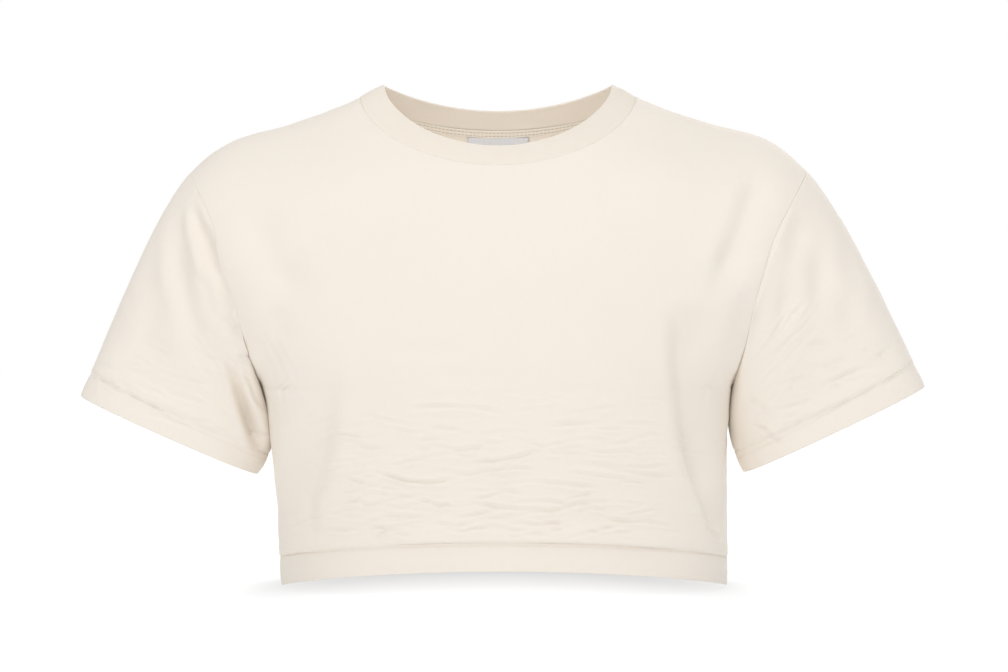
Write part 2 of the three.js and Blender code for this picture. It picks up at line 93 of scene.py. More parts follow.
# Each cuff: its side, its outer and its inner end (x, z), how far its sleeve leans inwards under the arm, and
# how far the sleeve's underside is pressed towards the body
CUFFS = {
    "sleeve_left": {"mark": 1, "outer": (342, -231.5), "inner": (197, -300.5), "lean": 0.03, "press": 1.0},
    "sleeve_right": {"mark": -1, "outer": (-334.5, -239), "inner": (-193, -302), "lean": 0.2, "press": 4.8},
}
PRESS_SHAPE = 6.75  # makes the greatest press equal to the given one
UNDERARM_CLEAR = 0.35  # between body and sleeve just under the seam
UNDERARM_REACH = 0.25  # share of the way round, each side of the underarm, where a sleeve turns down
UNDERARM_HUG = 1.6  # how much longer it keeps to the body there before it turns out to the cuff
SLEEVE_START = 0.6  # how strongly a sleeve leaves the armhole along its first direction

FULLNESS = 0.15  # how much fuller than an ellipse a level of the body is
EASE_REACH = 22  # step in height over which the middle of the body evens out its width
EASE_STEPS = (-2, -1, 0, 1, 2)
EASED_SHARE = 0.5  # of the half width, counted from the middle
UNDERARM_STEP = 9  # and the step over which the cloth beside the underarm evens out
UNDERARM_WEIGHTS = {-2: 1 / 9, -1: 2 / 9, 0: 3 / 9, 1: 2 / 9, 2: 1 / 9}

# Levels of the body: height, right and left end of the panels, how far the oval runs on past them, and its
# depths to the front and the back
LEVELS = np.array(
    [
        (-390, -173, 183, 0, 108, 95),
        (-355, -174.5, 183, 0, 109, 96),
        (-320, -176, 183, 0, 111, 97),
        (-285, -178.5, 183, 0, 113, 99),
        (-260, -183, 183.5, 0, 114.5, 101),
        (-233, -189, 185, 0, 115, 102),
        (-222, -192, 187, 5, 115, 102.5),
        (-210, -195.5, 189.5, 11, 114.5, 103),
        (-188, -200, 195.5, 21, 112, 103),
        (-166, -205, 200.5, 31, 108.5, 102),
        (-145, -211.5, 206, 39, 103.5, 100),
        (-120, -218, 214, 41, 96, 96),
        (-100, -224.5, 223, 39, 88, 91),
        (-80, -234.5, 235, 33, 80, 84),
        (-60, -245, 247, 24, 70.5, 76),
        (-40, -245, 247, 18, 59, 67),
        (-20, -245, 247, 14, 48, 57),
        (20, -245, 247, 12, 34, 44),
    ]
)
HEIGHT, RIGHT_END, LEFT_END, SPREAD, FRONT_DEPTH, BACK_DEPTH = range(6)
TIPS = {-1: -245, 1: 247}  # the outer ends of the two shoulder seams

# The line of the shoulders: distance from the middle, height on the wearer's right and left, and how far
# below it the cloth has turned down to the front or the back
SHOULDERS = np.array(
    [
        (0, 60, 60, 120),
        (70, 31, 31, 96),
        (92, 12, 12, 86),
        (110, 0, 0, 80),
        (132, -10, -9, 78),
        (166, -22, -20.5, 78),
        (203, -32, -29.5, 68),
        (217, -38, -35, 58),
        (232, -48, -45.5, 50),
        (250, -65, -62.5, 44),
    ]
)
OUT, RIGHT_LINE, LEFT_LINE, TURN = range(4)

# ---------- creases --------------------------
# Each one is a line of points (x, z) seen from the front, its width, its depth (less than 0 is a trough), the
# share of that depth that stands up beside it, and how much steeper one of its sides is than the other.

FRONT_FOLDS = [
    # drag lines from the armholes over the chest
    ([(-204, -78), (-188, -108), (-174, -134), (-160, -158), (-150, -180)], 15, -3.4, 0.3, 0),
    ([(-190, -150), (-172, -180), (-160, -205)], 9, -1.3, 0.3, 0),
    ([(212, -52), (200, -80), (190, -106), (181, -130), (170, -152), (160, -172)], 10, -3.1, 0.4, -0.2),
    ([(168, -166), (154, -188), (136, -206)], 16, -2.2, 0.2, 0),
    ([(196, -150), (188, -180), (182, -206)], 7, -1.2, 0.3, 0),
    # folds that fall from the bust to the hem
    ([(136, -158), (141, -200), (145, -236), (151, -268), (157, -294), (165, -314), (173, -335), (180, -354)],
     15, -6.4, 0.2, -0.45),
    ([(147, -262), (153, -286), (161, -312), (169, -334), (178, -354)], 8, -4.6, 0.25, -0.4),
    ([(162, -340), (170, -346), (178, -354)], 3, -1.2, 0.5, 0),
    ([(-128, -206), (-132, -248), (-137, -272), (-143, -298), (-151, -332), (-160, -360)],
     14, -4.6, 0.25, 0.4),
    ([(-166, -262), (-163, -300), (-166, -344)], 9, -1.5, 0.3, 0),
    ([(-152, -300), (-146, -330), (-136, -352)], 5, -0.9, 0.4, 0),
    # fine drag lines below the right underarm
    ([(-184, -186), (-172, -208), (-160, -236)], 3.2, -0.9, 0.5, 0),
    ([(-176, -190), (-162, -212), (-152, -226)], 2.6, -0.7, 0.5, 0),
    ([(-180, -214), (-170, -232), (-166, -250)], 2.8, -0.8, 0.5, 0),
    ([(-168, -226), (-152, -244), (-146, -262)], 3, -0.6, 0.5, 0),
    ([(-190, -208), (-178, -214), (-166, -226)], 2.4, -0.6, 0.5, 0),
    ([(176, -214), (166, -230), (160, -250)], 3, -0.7, 0.5, 0),
    # worn-in creases across the lower front
    ([(-104, -293), (-84, -298), (-70, -302), (-51, -303), (-31, -300)], 2.4, -1.5, 0.75, 0),
    ([(-36, -300), (-21, -297), (-7, -294), (17, -292), (34, -294)], 2.4, -1.0, 0.75, 0),
    ([(-34, -286), (-9, -287), (7, -285), (24, -281), (38, -274)], 2.4, -1.1, 0.7, 0),
    ([(-74, -249), (-60, -246), (-41, -245), (-20, -246), (-7, -248), (8, -253)], 3, -1, 0.6, 0),
    ([(-22, -319), (-8, -320), (4, -324)], 2.4, -1, 0.6, 0),
    ([(-62, -316), (-50, -319), (-40, -324)], 2.4, -1, 0.6, 0),
    ([(24, -302), (58, -305), (90, -309)], 2.6, -0.9, 0.6, 0),
    ([(20, -320), (36, -325), (50, -323), (66, -320), (90, -329)], 2.6, -1.1, 0.6, 0),
    ([(28, -332), (42, -334), (56, -339)], 2.4, -1, 0.6, 0),
    ([(-94, -350), (-90, -344), (-83, -340), (-75, -340), (-69, -345)], 2.2, -1.1, 0.7, 0),
    ([(96, -329), (108, -327), (124, -324)], 2.4, -0.7, 0.6, 0),
    ([(-112, -313), (-104, -303), (-96, -294)], 2.6, -0.7, 0.6, 0),
    ([(-94, -312), (-86, -313), (-78, -316)], 2.4, -0.6, 0.6, 0),
    ([(-58, -263), (-40, -262), (-18, -267)], 2.8, -0.6, 0.5, 0),
    ([(30, -262), (58, -258), (84, -260)], 3, -0.6, 0.5, 0),
    ([(48, -288), (78, -290), (108, -297)], 2.8, -0.7, 0.5, 0),
    ([(-116, -268), (-104, -276), (-92, -279)], 2.8, -0.6, 0.5, 0),
    ([(-50, -334), (-34, -336), (-14, -334)], 2.4, -0.7, 0.6, 0),
    ([(66, -340), (88, -343), (112, -341)], 2.6, -0.7, 0.6, 0),
    ([(112, -266), (124, -268), (134, -271)], 2.6, -0.6, 0.5, 0),
    ([(-12, -268), (6, -264), (26, -266)], 2.6, -0.5, 0.5, 0),
    ([(60, -272), (72, -270), (88, -274)], 2.6, -0.5, 0.5, 0),
    ([(-84, -328), (-70, -331), (-58, -329)], 2.4, -0.7, 0.6, 0),
    ([(-8, -308), (8, -309), (22, -313)], 2.4, -0.6, 0.6, 0),
    ([(8, -345), (24, -343), (40, -347)], 2.4, -0.6, 0.6, 0),
    # faint ones over the stomach and the chest
    ([(-70, -224), (-30, -221), (14, -225)], 5, -0.5, 0.4, 0),
    ([(26, -236), (64, -233), (96, -238)], 5, -0.5, 0.4, 0),
    ([(-96, -196), (-50, -203), (-6, -200)], 7, -0.5, 0.3, 0),
]
# Creases scattered over a region: seed, how many, two corners of the region, their slope and their depth
FRONT_CRINKLES = [
    (5, 70, (-118, -343), (124, -262), 0.0, 0.75),
    (6, 30, (-96, -342), (70, -312), 0.05, 0.8),
    (7, 20, (-150, -346), (-96, -250), 0.25, 0.5),
    (8, 20, (100, -346), (160, -240), -0.2, 0.5),
    (9, 16, (-90, -262), (100, -214), 0.0, 0.45),
]
BACK_CRINKLES = [
    (15, 70, (-122, -352), (126, -262), 0.0, 0.75),
    (16, 20, (-150, -354), (-100, -240), 0.25, 0.5),
    (17, 20, (104, -354), (156, -240), -0.25, 0.5),
    (18, 16, (-90, -262), (100, -190), 0.0, 0.45),
]
SLEEVE_CRINKLES = {
    "sleeve_right": [
        (25, 26, (-312, -268), (-214, -196), -0.3, 0.6),
        (26, 10, (-232, -262), (-200, -190), -1.2, 0.6),
    ],
    "sleeve_left": [
        (27, 26, (216, -266), (316, -190), 0.3, 0.6),
        (28, 10, (204, -262), (236, -180), 1.2, 0.6),
    ],
}

BACK_FOLDS = [
    ([(206, -66), (190, -100), (172, -134), (156, -162), (146, -184)], 15, -4, 0.3, 0),
    ([(-206, -66), (-192, -96), (-172, -128), (-152, -160), (-142, -178)], 16, -3.8, 0.3, 0),
    ([(186, -150), (172, -176), (162, -204)], 8, -1.6, 0.4, 0),
    ([(-190, -158), (-176, -182), (-166, -206)], 8, -1.4, 0.4, 0),
    ([(120, -186), (129, -222), (136, -256), (146, -292), (158, -326), (166, -356)], 12, -4.6, 0.3, 0.2),
    ([(-112, -190), (-122, -228), (-130, -264), (-140, -300), (-152, -334), (-158, -358)], 13, -4, 0.3, -0.2),
    ([(62, -232), (70, -270), (74, -312), (80, -352)], 17, -1.9, 0.3, 0),
    ([(-48, -242), (-54, -282), (-62, -322), (-64, -354)], 17, -1.6, 0.3, 0),
    ([(12, -252), (8, -296), (12, -344)], 20, 1.2, 0, 0),
    ([(-90, -104), (-40, -112), (20, -110), (84, -102)], 16, -1, 0.3, 0),
    ([(-66, -300), (-38, -304), (-14, -302), (6, -297)], 2.8, -1.2, 0.6, 0),
    ([(18, -288), (44, -285), (74, -290), (96, -289)], 2.8, -1, 0.6, 0),
    ([(-30, -328), (-4, -331), (24, -327)], 2.6, -1, 0.6, 0),
    ([(44, -318), (66, -323), (92, -321)], 2.6, -0.9, 0.6, 0),
    ([(-104, -318), (-86, -322), (-64, -320)], 2.6, -0.8, 0.6, 0),
    ([(-96, -276), (-72, -272), (-52, -276)], 3, -0.7, 0.5, 0),
    ([(-20, -268), (8, -271), (40, -266)], 3, -0.7, 0.5, 0),
    ([(60, -344), (84, -341), (104, -346)], 2.4, -0.8, 0.6, 0),
    ([(-84, -346), (-60, -342), (-40, -346)], 2.4, -0.7, 0.6, 0),
    ([(178, -198), (166, -218), (156, -240)], 3, -0.8, 0.5, 0),
    ([(-182, -204), (-168, -222), (-160, -246)], 3, -0.8, 0.5, 0),
    ([(170, -226), (156, -246), (150, -262)], 3, -0.7, 0.5, 0),
    ([(-40, -206), (4, -210), (50, -204)], 7, -0.6, 0.3, 0),
]

SLEEVE_FOLDS = {
    ("sleeve_right", "front"): [
        ([(-238, -86), (-230, -108), (-222, -130), (-214, -154), (-208, -180)], 5.5, -4.4, 0.4, -0.2),
        ([(-241, -78), (-237, -102), (-232, -120), (-223, -139), (-216, -152)], 4.2, -2.8, 0.5, 0),
        ([(-250, -80), (-252, -121), (-248, -147), (-243, -168), (-236, -190), (-236, -226)],
         8, -3.8, 0.4, 0),
        ([(-268, -104), (-275, -150), (-277, -190), (-270, -232)], 12, -2.4, 0.3, 0),
        ([(-292, -150), (-298, -190), (-292, -230)], 12, -1.2, 0.3, 0),
        ([(-216, -176), (-208, -183), (-198, -191)], 4, -2.2, 0.5, 0),
        ([(-206, -211), (-199, -207), (-193, -209)], 3, -1.2, 0.5, 0),
        ([(-228, -184), (-219, -210), (-213, -232), (-207, -252), (-200, -268)], 9, -1.8, 0.3, 0),
        ([(-210, -216), (-205, -230), (-201, -244), (-196, -260), (-190, -276), (-184, -292)],
         4, -4.2, 0.3, 0.2),
        ([(-216, -202), (-211, -214), (-206, -228), (-202, -242), (-197, -256), (-191, -272), (-186, -288)],
         4, -5.2, 0.35, -0.1),
        ([(-200, -214), (-194, -232), (-189, -248)], 3, -1.6, 0.4, 0),
        ([(-197, -268), (-190, -270), (-183, -267)], 2.6, -2.2, 0.5, 0),
        ([(-230, -262), (-214, -268), (-203, -276)], 3, -0.8, 0.5, 0),
        ([(-262, -236), (-244, -240), (-226, -246)], 3, -0.6, 0.5, 0),
        ([(-300, -214), (-286, -220), (-270, -222)], 3, -0.6, 0.5, 0),
        ([(-312, -226), (-296, -230), (-280, -238)], 3, -0.5, 0.5, 0),
    ],
    ("sleeve_right", "back"): [
        ([(-236, -86), (-226, -124), (-214, -160), (-205, -196)], 8, -3.2, 0.4, 0),
        ([(-252, -84), (-254, -126), (-250, -166), (-240, -206)], 9, -2.8, 0.4, 0),
        ([(-272, -110), (-280, -156), (-276, -204)], 12, -2.2, 0.3, 0),
        ([(-214, -196), (-206, -226), (-198, -256), (-191, -280)], 5.5, -4.5, 0.35, 0),
        ([(-240, -250), (-222, -256), (-208, -268)], 3, -0.9, 0.5, 0),
        ([(-296, -212), (-276, -222), (-258, -224)], 3, -0.7, 0.5, 0),
    ],
    ("sleeve_left", "front"): [
        ([(240, -72), (236, -108), (230, -146), (221, -178), (213, -206)], 8.5, -2.3, 0.4, 0),
        ([(249, -76), (252, -112), (254, -150), (254, -190)], 9, -2.4, 0.4, 0),
        ([(268, -104), (276, -140), (279, -176), (278, -210)], 11, -1.8, 0.3, 0),
        ([(296, -150), (304, -184), (306, -214)], 10, -1.0, 0.3, 0),
        ([(212, -150), (205, -176), (199, -204)], 5, -1.4, 0.4, 0),
        ([(236, -200), (250, -197), (264, -199)], 2.6, -0.8, 0.6, 0),
        ([(240, -214), (256, -215), (272, -221)], 2.6, -0.8, 0.6, 0),
        ([(252, -232), (266, -232), (280, -238)], 2.6, -0.7, 0.6, 0),
        ([(272, -206), (286, -203), (300, -208)], 2.8, -0.6, 0.5, 0),
        ([(198, -260), (210, -265), (218, -272), (228, -279)], 2.6, -1.3, 0.6, 0),
        ([(204, -282), (216, -277), (230, -270)], 2.6, -0.9, 0.6, 0),
        ([(222, -252), (238, -256), (252, -252)], 2.8, -0.7, 0.5, 0),
        ([(196, -240), (206, -246), (212, -254)], 3, -1, 0.5, 0),
    ],
    ("sleeve_left", "back"): [
        ([(238, -80), (230, -120), (220, -158), (210, -196)], 8, -3.2, 0.4, 0),
        ([(254, -80), (262, -124), (266, -170), (262, -212)], 9, -2.6, 0.4, 0),
        ([(282, -118), (294, -160), (298, -204)], 12, -1.8, 0.3, 0),
        ([(214, -194), (206, -224), (202, -254), (200, -282)], 5.5, -3.8, 0.35, 0),
        ([(238, -246), (254, -250), (272, -246)], 3, -0.9, 0.5, 0),
        ([(262, -222), (280, -226), (298, -222)], 3, -0.7, 0.5, 0),
    ],
}

PANEL_FOLDS = {"front": FRONT_FOLDS, "back": BACK_FOLDS}
PANEL_CRINKLES = {"front": FRONT_CRINKLES, "back": BACK_CRINKLES}

# ---------- unevenness of the cloth: heights, and how wide and tall one hill is ----------

SEEDS = {"front": 11, "back": 23, "sleeve_left": 41, "sleeve_right": 57, "neckband": 71}
SLACK = 0.9  # broad, slack hills of a panel
SLACK_SIZE = (62, 95)
RUMPLE = (0.05, 0.35)  # level rumples at the chest and at the hem
RUMPLE_SIZE = (44, 15)
RUMPLE_TOP = -200  # height where they start to grow
RUMPLE_REACH = 90
SMALL_RUMPLE = 0.08
SMALL_RUMPLE_SIZE = (19, 7)
SMALL_RUMPLE_SLANT = 0.4
SLEEVE_SLACK = 0.8
SLEEVE_SLACK_SIZE = (50, 90)
SLEEVE_RUMPLE = 0.25
SLEEVE_RUMPLE_SIZE = (26, 15)
SLEEVE_GIRTH = 400  # for the hills only, so that they keep their width down the sleeve
PUCKER = 0.35  # beside the sewn edges
PUCKER_SIZE = (7, 30)
PUCKER_REACH = 3.5

# ---------- hems ----------

HEM_UNEVEN = 0.5
HEM_UNEVEN_SIZE = (34, 10)
LINE_PLACE = 0.4  # the sunk line of stitches, above the hem's depth
LINE_HALF = 0.9
LINE_SINK = (0.5, 0.35)  # its least depth, and what each millimetre of swelling above it adds
SWELL_RISE = 2.8  # how soon the cloth swells above it
SWELL_TOP = 18
SWELL_FALL = 15
EDGE_SWELL = 0.35  # of the turned part itself
EDGE_PLACE = 0.45  # shares of the hem's depth
EDGE_HALF = 0.3
HEM_PUCKER = 0.28
HEM_PUCKER_SIZE = (6.5, 30)
HEM_PUCKER_SLANT = 0.6
HEM_PUCKER_REACH = 9
HEM_QUIET = 0.9  # creases die out towards the hem's edge, and are this near to full depth at its stitches
HEM_SWELL = 1.9  # greatest swelling above the panels' hems
SIDE_SWELL = 0.2  # share of it at the side seams
SIDE_SWELL_REACH = 70
CUFF_SWELL = 1.1
UNDER_SWELL = 0.15  # share of it at a cuff's outer and inner end

# ---------- how finely the cloth is divided ----------

NECK_COLUMNS = 74
SHOULDER_COLUMNS = 54  # on each side
EDGE_STEPS = (0.0, 0.12, 0.35, 0.65)  # extra lines close to an edge, as shares of the first even step
HEM_ROWS = 11
BODY_ROWS = 128  # hem stitching to underarm
ARMHOLE_ROWS = 56  # underarm to yoke
YOKE_ROWS = 34
SLEEVE_ROWS = 92
CUFF_ROWS = 11
BAND_ROWS = 12


def mix(a, b, k):
    return a + (b - a) * k


def smooth(k):
    c = np.clip(k, 0, 1)
    return c * c * (3 - 2 * c)


def bell(distance, half):
    return np.exp(-((distance / half) ** 2))


def unit(vectors):
    return vectors / np.maximum(np.linalg.norm(vectors, axis=-1, keepdims=True), 1e-12)


def read(table, key, column, place):
    """The value of a table's column at each place, on a smooth curve through its rows."""
    keys = table[:, key]
    values = table[:, column]
    rows = np.arange(len(keys))
    before = np.maximum(rows - 1, 0)
    after = np.minimum(rows + 1, len(keys) - 1)
    slopes = (values[after] - values[before]) / (keys[after] - keys[before])
    at = np.clip(place, keys[0], keys[-1])
    low = np.clip(np.searchsorted(keys, at) - 1, 0, len(keys) - 2)
    step = keys[low + 1] - keys[low]
    k = (at - keys[low]) / step
    k2 = k * k
    k3 = k2 * k
    return (
        (2 * k3 - 3 * k2 + 1) * values[low]
        + (k3 - 2 * k2 + k) * step * slopes[low]
        + (3 * k2 - 2 * k3) * values[low + 1]
        + (k3 - k2) * step * slopes[low + 1]
    )


def level(column, z):
    return read(LEVELS, HEIGHT, column, z)


def shoulder_z(x):
    right = read(SHOULDERS, OUT, RIGHT_LINE, np.abs(x))
    left = read(SHOULDERS, OUT, LEFT_LINE, np.abs(x))
    return np.where(x < 0, right, left)


# ---------- the body's form ----------


def oval(z):
    """The oval of a level: its middle, its half width and the share of it where the panels end."""
    right = level(RIGHT_END, z)
    left = level(LEFT_END, z)
    half = (left - right) / 2 + np.maximum(level(SPREAD, z), 0)
    return (left + right) / 2, half, np.minimum((left - right) / 2 / half, 1)


def eased_half(z):
    return sum(oval(z + k * EASE_REACH)[1] for k in EASE_STEPS) / len(EASE_STEPS)


def depth(side, x, z):
    """How far the cloth stands in front of, or behind, the plane of the side and shoulder seams."""
    middle, half, _ = oval(z)
    out = np.abs(x - middle)
    width = mix(eased_half(z), half, smooth((out / half - EASED_SHARE) / (1 - EASED_SHARE)))
    u = np.minimum(out / width, 1)
    fullness = np.sqrt(1 - u * u) * (1 + FULLNESS * u * u)
    turned = np.clip((shoulder_z(x) - z) / read(SHOULDERS, OUT, TURN, np.abs(x)), 0, 1)
    column = FRONT_DEPTH if side == "front" else BACK_DEPTH
    return level(column, z) * fullness * np.sqrt(turned * (2 - turned))


def eased_depth(side, x, z):
    """The same, evened out over a few rows, for cloth that runs past the end of the armhole."""
    return sum(w * depth(side, x, z + k * UNDERARM_STEP) for k, w in UNDERARM_WEIGHTS.items())


def level_place(across, z):
    middle, half, share = oval(z)
    return middle + half * np.sin(across * np.arcsin(share)), z + 0 * across


def top_place(side, across):
    """The top edge of a panel: the neck seam in the middle, and the shoulder seams."""
    angle = np.clip(across / NECK_SHARE, -1, 1) * math.pi / 2
    neck_x = NECK_HALF * np.sin(angle)
    neck_z = -NECK_DROP[side] * np.maximum(np.cos(angle), 0) ** NECK_SHAPE[side]
    k = (np.abs(across) - NECK_SHARE) / (1 - NECK_SHARE)
    tip = np.where(across < 0, TIPS[-1], TIPS[1])
    x = mix(np.sign(across) * NECK_HALF, tip, k)
    at_neck = np.abs(across) <= NECK_SHARE
    return np.where(at_neck, neck_x, x), np.where(at_neck, neck_z, shoulder_z(x))


def crowded(start, end, steps, at_start=True, at_end=False):
    """Even steps from start to end, with extra lines close to one or both ends."""
    step = 1 / steps
    places = [k * step for k in range(steps + 1)]
    if at_start:
        places += [k * step for k in EDGE_STEPS]
    if at_end:
        places += [1 - k * step for k in EDGE_STEPS]
    return mix(start, end, np.unique(np.round(places, 9)))


def panel_columns():
    right = crowded(-1, -NECK_SHARE, SHOULDER_COLUMNS)
    middle = np.linspace(-NECK_SHARE, NECK_SHARE, NECK_COLUMNS + 1)
    return np.concatenate([right[:-1], middle, -right[::-1][1:]])


HEM_HEIGHTS = crowded(HEM_Z, HEM_Z + HEM_DEPTH, HEM_ROWS, True, True)
BODY_HEIGHTS = crowded(HEM_Z + HEM_DEPTH, UNDERARM_Z, BODY_ROWS)
ARMHOLE_HEIGHTS = np.linspace(UNDERARM_Z, YOKE_Z, ARMHOLE_ROWS + 1)
HEIGHTS = np.concatenate([HEM_HEIGHTS[:-1], BODY_HEIGHTS[:-1], ARMHOLE_HEIGHTS[:-1]])
YOKE = np.linspace(0, 1, YOKE_ROWS + 1)
COLUMNS = panel_columns()
HEM_ROW = len(HEM_HEIGHTS) - 1
UNDERARM_ROW = HEM_ROW + len(BODY_HEIGHTS) - 1
TOP_ROW = len(HEIGHTS) + YOKE_ROWS
NECK_FIRST = int(np.argmin(np.abs(COLUMNS + NECK_SHARE)))


def panel_places(side):
    """Front-view places of a panel's points: x and z, one row of the cloth after another."""
    across = COLUMNS[None, :]
    z = HEIGHTS[:, None]
    share = smooth((HEM_RISE_ENDS - z) / (HEM_RISE_ENDS - HEM_Z))
    lift = HEM_RISE[side] * share * np.maximum(np.cos(across * math.pi / 2), 0) ** HEM_RISE_SHAPE
    low_x, low_z = level_place(across, z + lift)
    yoke_x, yoke_z = level_place(across, YOKE_Z + 0 * across)
    top_x, top_z = top_place(side, across)
    k = np.sin(YOKE[:, None] * math.pi / 2)
    return np.vstack([low_x, mix(yoke_x, top_x, k)]), np.vstack([low_z, mix(yoke_z, top_z, k)])


# ---------- folds ----------

FINE_WIDTH = 4  # creases narrower than this are pressed in more sharply
FINE_DEPTH = 0.9
FINE_SHARE = 0.6  # of their width
CREASE_REACH = 4  # in widths: beyond it a crease moves nothing
CREASE_WAVES = ((0.3, 6.3), (0.25, 14.1))  # of its depth along its length: how strong and how fast
EVEN_WIDTH = 0.75  # share of its width that doesn't swell with its depth
FADE_IN = 0.3  # shares of its length
FADE_OUT = 0.35
RIDGE_PLACE = 1.9  # the cloth that stands up beside it, in widths from its line
RIDGE_SPREAD = 0.9
PATH_STEPS = 6  # from one point of its line to the next


def fold_lift(folds, x, z):
    """How far the creases move the cloth out at each place."""
    lift = np.zeros(x.shape)
    for points, width, deep, beside, lean in folds:
        if width < FINE_WIDTH:
            deep = deep * FINE_DEPTH
            width = width * FINE_SHARE
        path = smooth_path(points)
        reach = CREASE_REACH * width
        low = path.min(0) - reach
        high = path.max(0) + reach
        near = (x > low[0]) & (x < high[0]) & (z > low[1]) & (z < high[1])
        if not near.any():
            continue
        along, aside = path_distance(path, x[near], z[near])
        # real creases swell and shrink along their length
        swell = 1 + sum(a * np.sin(fast * along + start) for (a, fast), start in zip(CREASE_WAVES, points[0]))
        ends = smooth(along / FADE_IN) * smooth((1 - along) / FADE_OUT)
        s = aside / (width * (1 + lean * np.sign(aside)) * mix(swell, 1, EVEN_WIDTH))
        profile = np.exp(-s * s) - beside * np.exp(-((np.abs(s) - RIDGE_PLACE) ** 2) / RIDGE_SPREAD)
        lift[near] += deep * ends * swell * profile
    return lift


CRINKLE_HALF = (8, 30)  # least and greatest half length
CRINKLE_TILT = 0.26  # how far their slopes differ
CRINKLE_BOW = 2.4
CRINKLE_WIDTH = (1.8, 2.7)
CRINKLE_SHARE = (0.3, 1.0)  # of the given depth
CRINKLE_BESIDE = 0.65


def scattered(seed, count, low, high, slope, deep):
    """Short creases worn into the cloth between two corners (x, z), all running much the same way."""
    draw = np.random.default_rng(seed)
    creases = []
    for _ in range(count):
        x, z = draw.uniform(low, high)
        half = draw.uniform(*CRINKLE_HALF)
        tilt = slope + draw.uniform(-CRINKLE_TILT, CRINKLE_TILT)
        bow = draw.uniform(-CRINKLE_BOW, CRINKLE_BOW)
        width = draw.uniform(*CRINKLE_WIDTH)
        sink = -deep * draw.uniform(*CRINKLE_SHARE)
        points = [(x - half, z - half * tilt), (x, z + bow), (x + half, z + half * tilt)]
        creases.append((points, width, sink, CRINKLE_BESIDE, 0))
    return creases


def with_crinkles(folds, regions):
    """The listed creases, and after them the scattered ones of each region."""
    for region in regions:
        folds = folds + scattered(*region)
    return folds


def smooth_path(points):
    """A smooth line through the points of a crease."""
    p = np.array(points, float)
    padded = np.vstack([2 * p[0] - p[1], p, 2 * p[-1] - p[-2]])
    k = np.linspace(0, 1, PATH_STEPS, endpoint=False)[:, None]
    pieces = []
    for a, b, c, d in zip(padded, padded[1:], padded[2:], padded[3:]):
        pieces.append(
            0.5 * (2 * b + (c - a) * k + (2 * a - 5 * b + 4 * c - d) * k**2 + (3 * b - a - 3 * c + d) * k**3)
        )
    return np.vstack(pieces + [p[-1:]])


def path_distance(path, x, z):
    """For each place: the share of the path's length at its nearest point, and the distance aside from it."""
    start = path[:-1]
    run = path[1:] - start
    long = np.linalg.norm(run, axis=1)
    before = np.concatenate([[0], np.cumsum(long)])
    best = np.full(x.shape, np.inf)
    along = np.zeros(x.shape)
    aside = np.zeros(x.shape)
    for a, r, length, passed in zip(start, run, long, before):
        dx = x - a[0]
        dz = z - a[1]
        k = np.clip((dx * r[0] + dz * r[1]) / length**2, 0, 1)
        gap = np.hypot(dx - k * r[0], dz - k * r[1])
        closer = gap < best
        best = np.where(closer, gap, best)
        along = np.where(closer, (passed + k * length) / before[-1], along)
        aside = np.where(closer, gap * np.sign(dx * r[1] - dz * r[0]), aside)
    return along, aside


HILLS = 64  # in each direction, before they repeat
HILLS_START = (31.7, 29.3)  # keeps the table's corner away from the middle of the garment


def unevenness(x, z, seed, size):
    """Smooth hills and hollows between -1 and 1, each about as wide and as tall as size says."""
    heights = np.random.default_rng(seed).uniform(-1, 1, (HILLS, HILLS))
    u = x / size[0] + HILLS_START[0]
    v = z / size[1] + HILLS_START[1]
    i = np.floor(u).astype(int)
    j = np.floor(v).astype(int)
    a = smooth(u - i)
    b = smooth(v - j)

    def at(di, dj):
        return heights[(i + di) % HILLS, (j + dj) % HILLS]

    return mix(mix(at(0, 0), at(1, 0), a), mix(at(0, 1), at(1, 1), a), b)


def seam_pucker(distance, ripple):
    """Ripples that are strongest a little way from a sewn edge."""
    return PUCKER * ripple * (distance / PUCKER_REACH) * np.exp(1 - distance / PUCKER_REACH)


def hem_lift(from_edge, hem_depth, along, seed, puff):
    """A stitched hem seen from outside: its stitches sink in, and the cloth swells above them and puckers."""
    above = from_edge - hem_depth
    uneven = 1 + HEM_UNEVEN * unevenness(along, 0 * along, seed, HEM_UNEVEN_SIZE)
    line = -(LINE_SINK[0] + LINE_SINK[1] * puff) * uneven * bell(above - LINE_PLACE, LINE_HALF)
    swell = puff * uneven * smooth(above / SWELL_RISE) * smooth((SWELL_TOP - above) / SWELL_FALL)
    edge = EDGE_SWELL * bell(from_edge - hem_depth * EDGE_PLACE, hem_depth * EDGE_HALF)
    ripple = unevenness(along + HEM_PUCKER_SLANT * above, above, seed + 1, HEM_PUCKER_SIZE)
    return line + swell + edge + HEM_PUCKER * ripple * bell(above, HEM_PUCKER_REACH)


def hemmed_wall(from_edge, hem_depth):
    """Wall of a piece with a hem: two layers up to its stitches, and one above them."""
    return mix(TURNED, CLOTH, smooth((from_edge - hem_depth - LINE_PLACE) / LINE_HALF))


# ---------- walls from grids ----------


def normals(grid, flip, closed):
    """Outward directions of a grid of points whose rows run round or across the piece."""
    if closed:
        acrossway = np.roll(grid, -1, 1) - np.roll(grid, 1, 1)
    else:
        acrossway = np.gradient(grid, axis=1)
    upway = np.gradient(grid, axis=0)
    return unit(np.cross(acrossway, upway)) * flip


def run_length(grid, axis, closed=False):
    """Distance walked along the cloth from the grid's first row or column to each point."""
    if closed:
        grid = np.concatenate([grid, grid[:, :1]], axis=1)
    steps = np.linalg.norm(np.diff(grid, axis=axis), axis=-1)
    first = np.zeros_like(np.take(steps, [0], axis=axis))
    return np.concatenate([first, np.cumsum(steps, axis=axis)], axis=axis)


def rolled(distance, radius):
    """Share of the wall's half thickness left at a distance from a rounded edge."""
    k = np.clip(distance / radius, 0, 1)
    return np.sqrt(1 - (1 - k) ** 2)


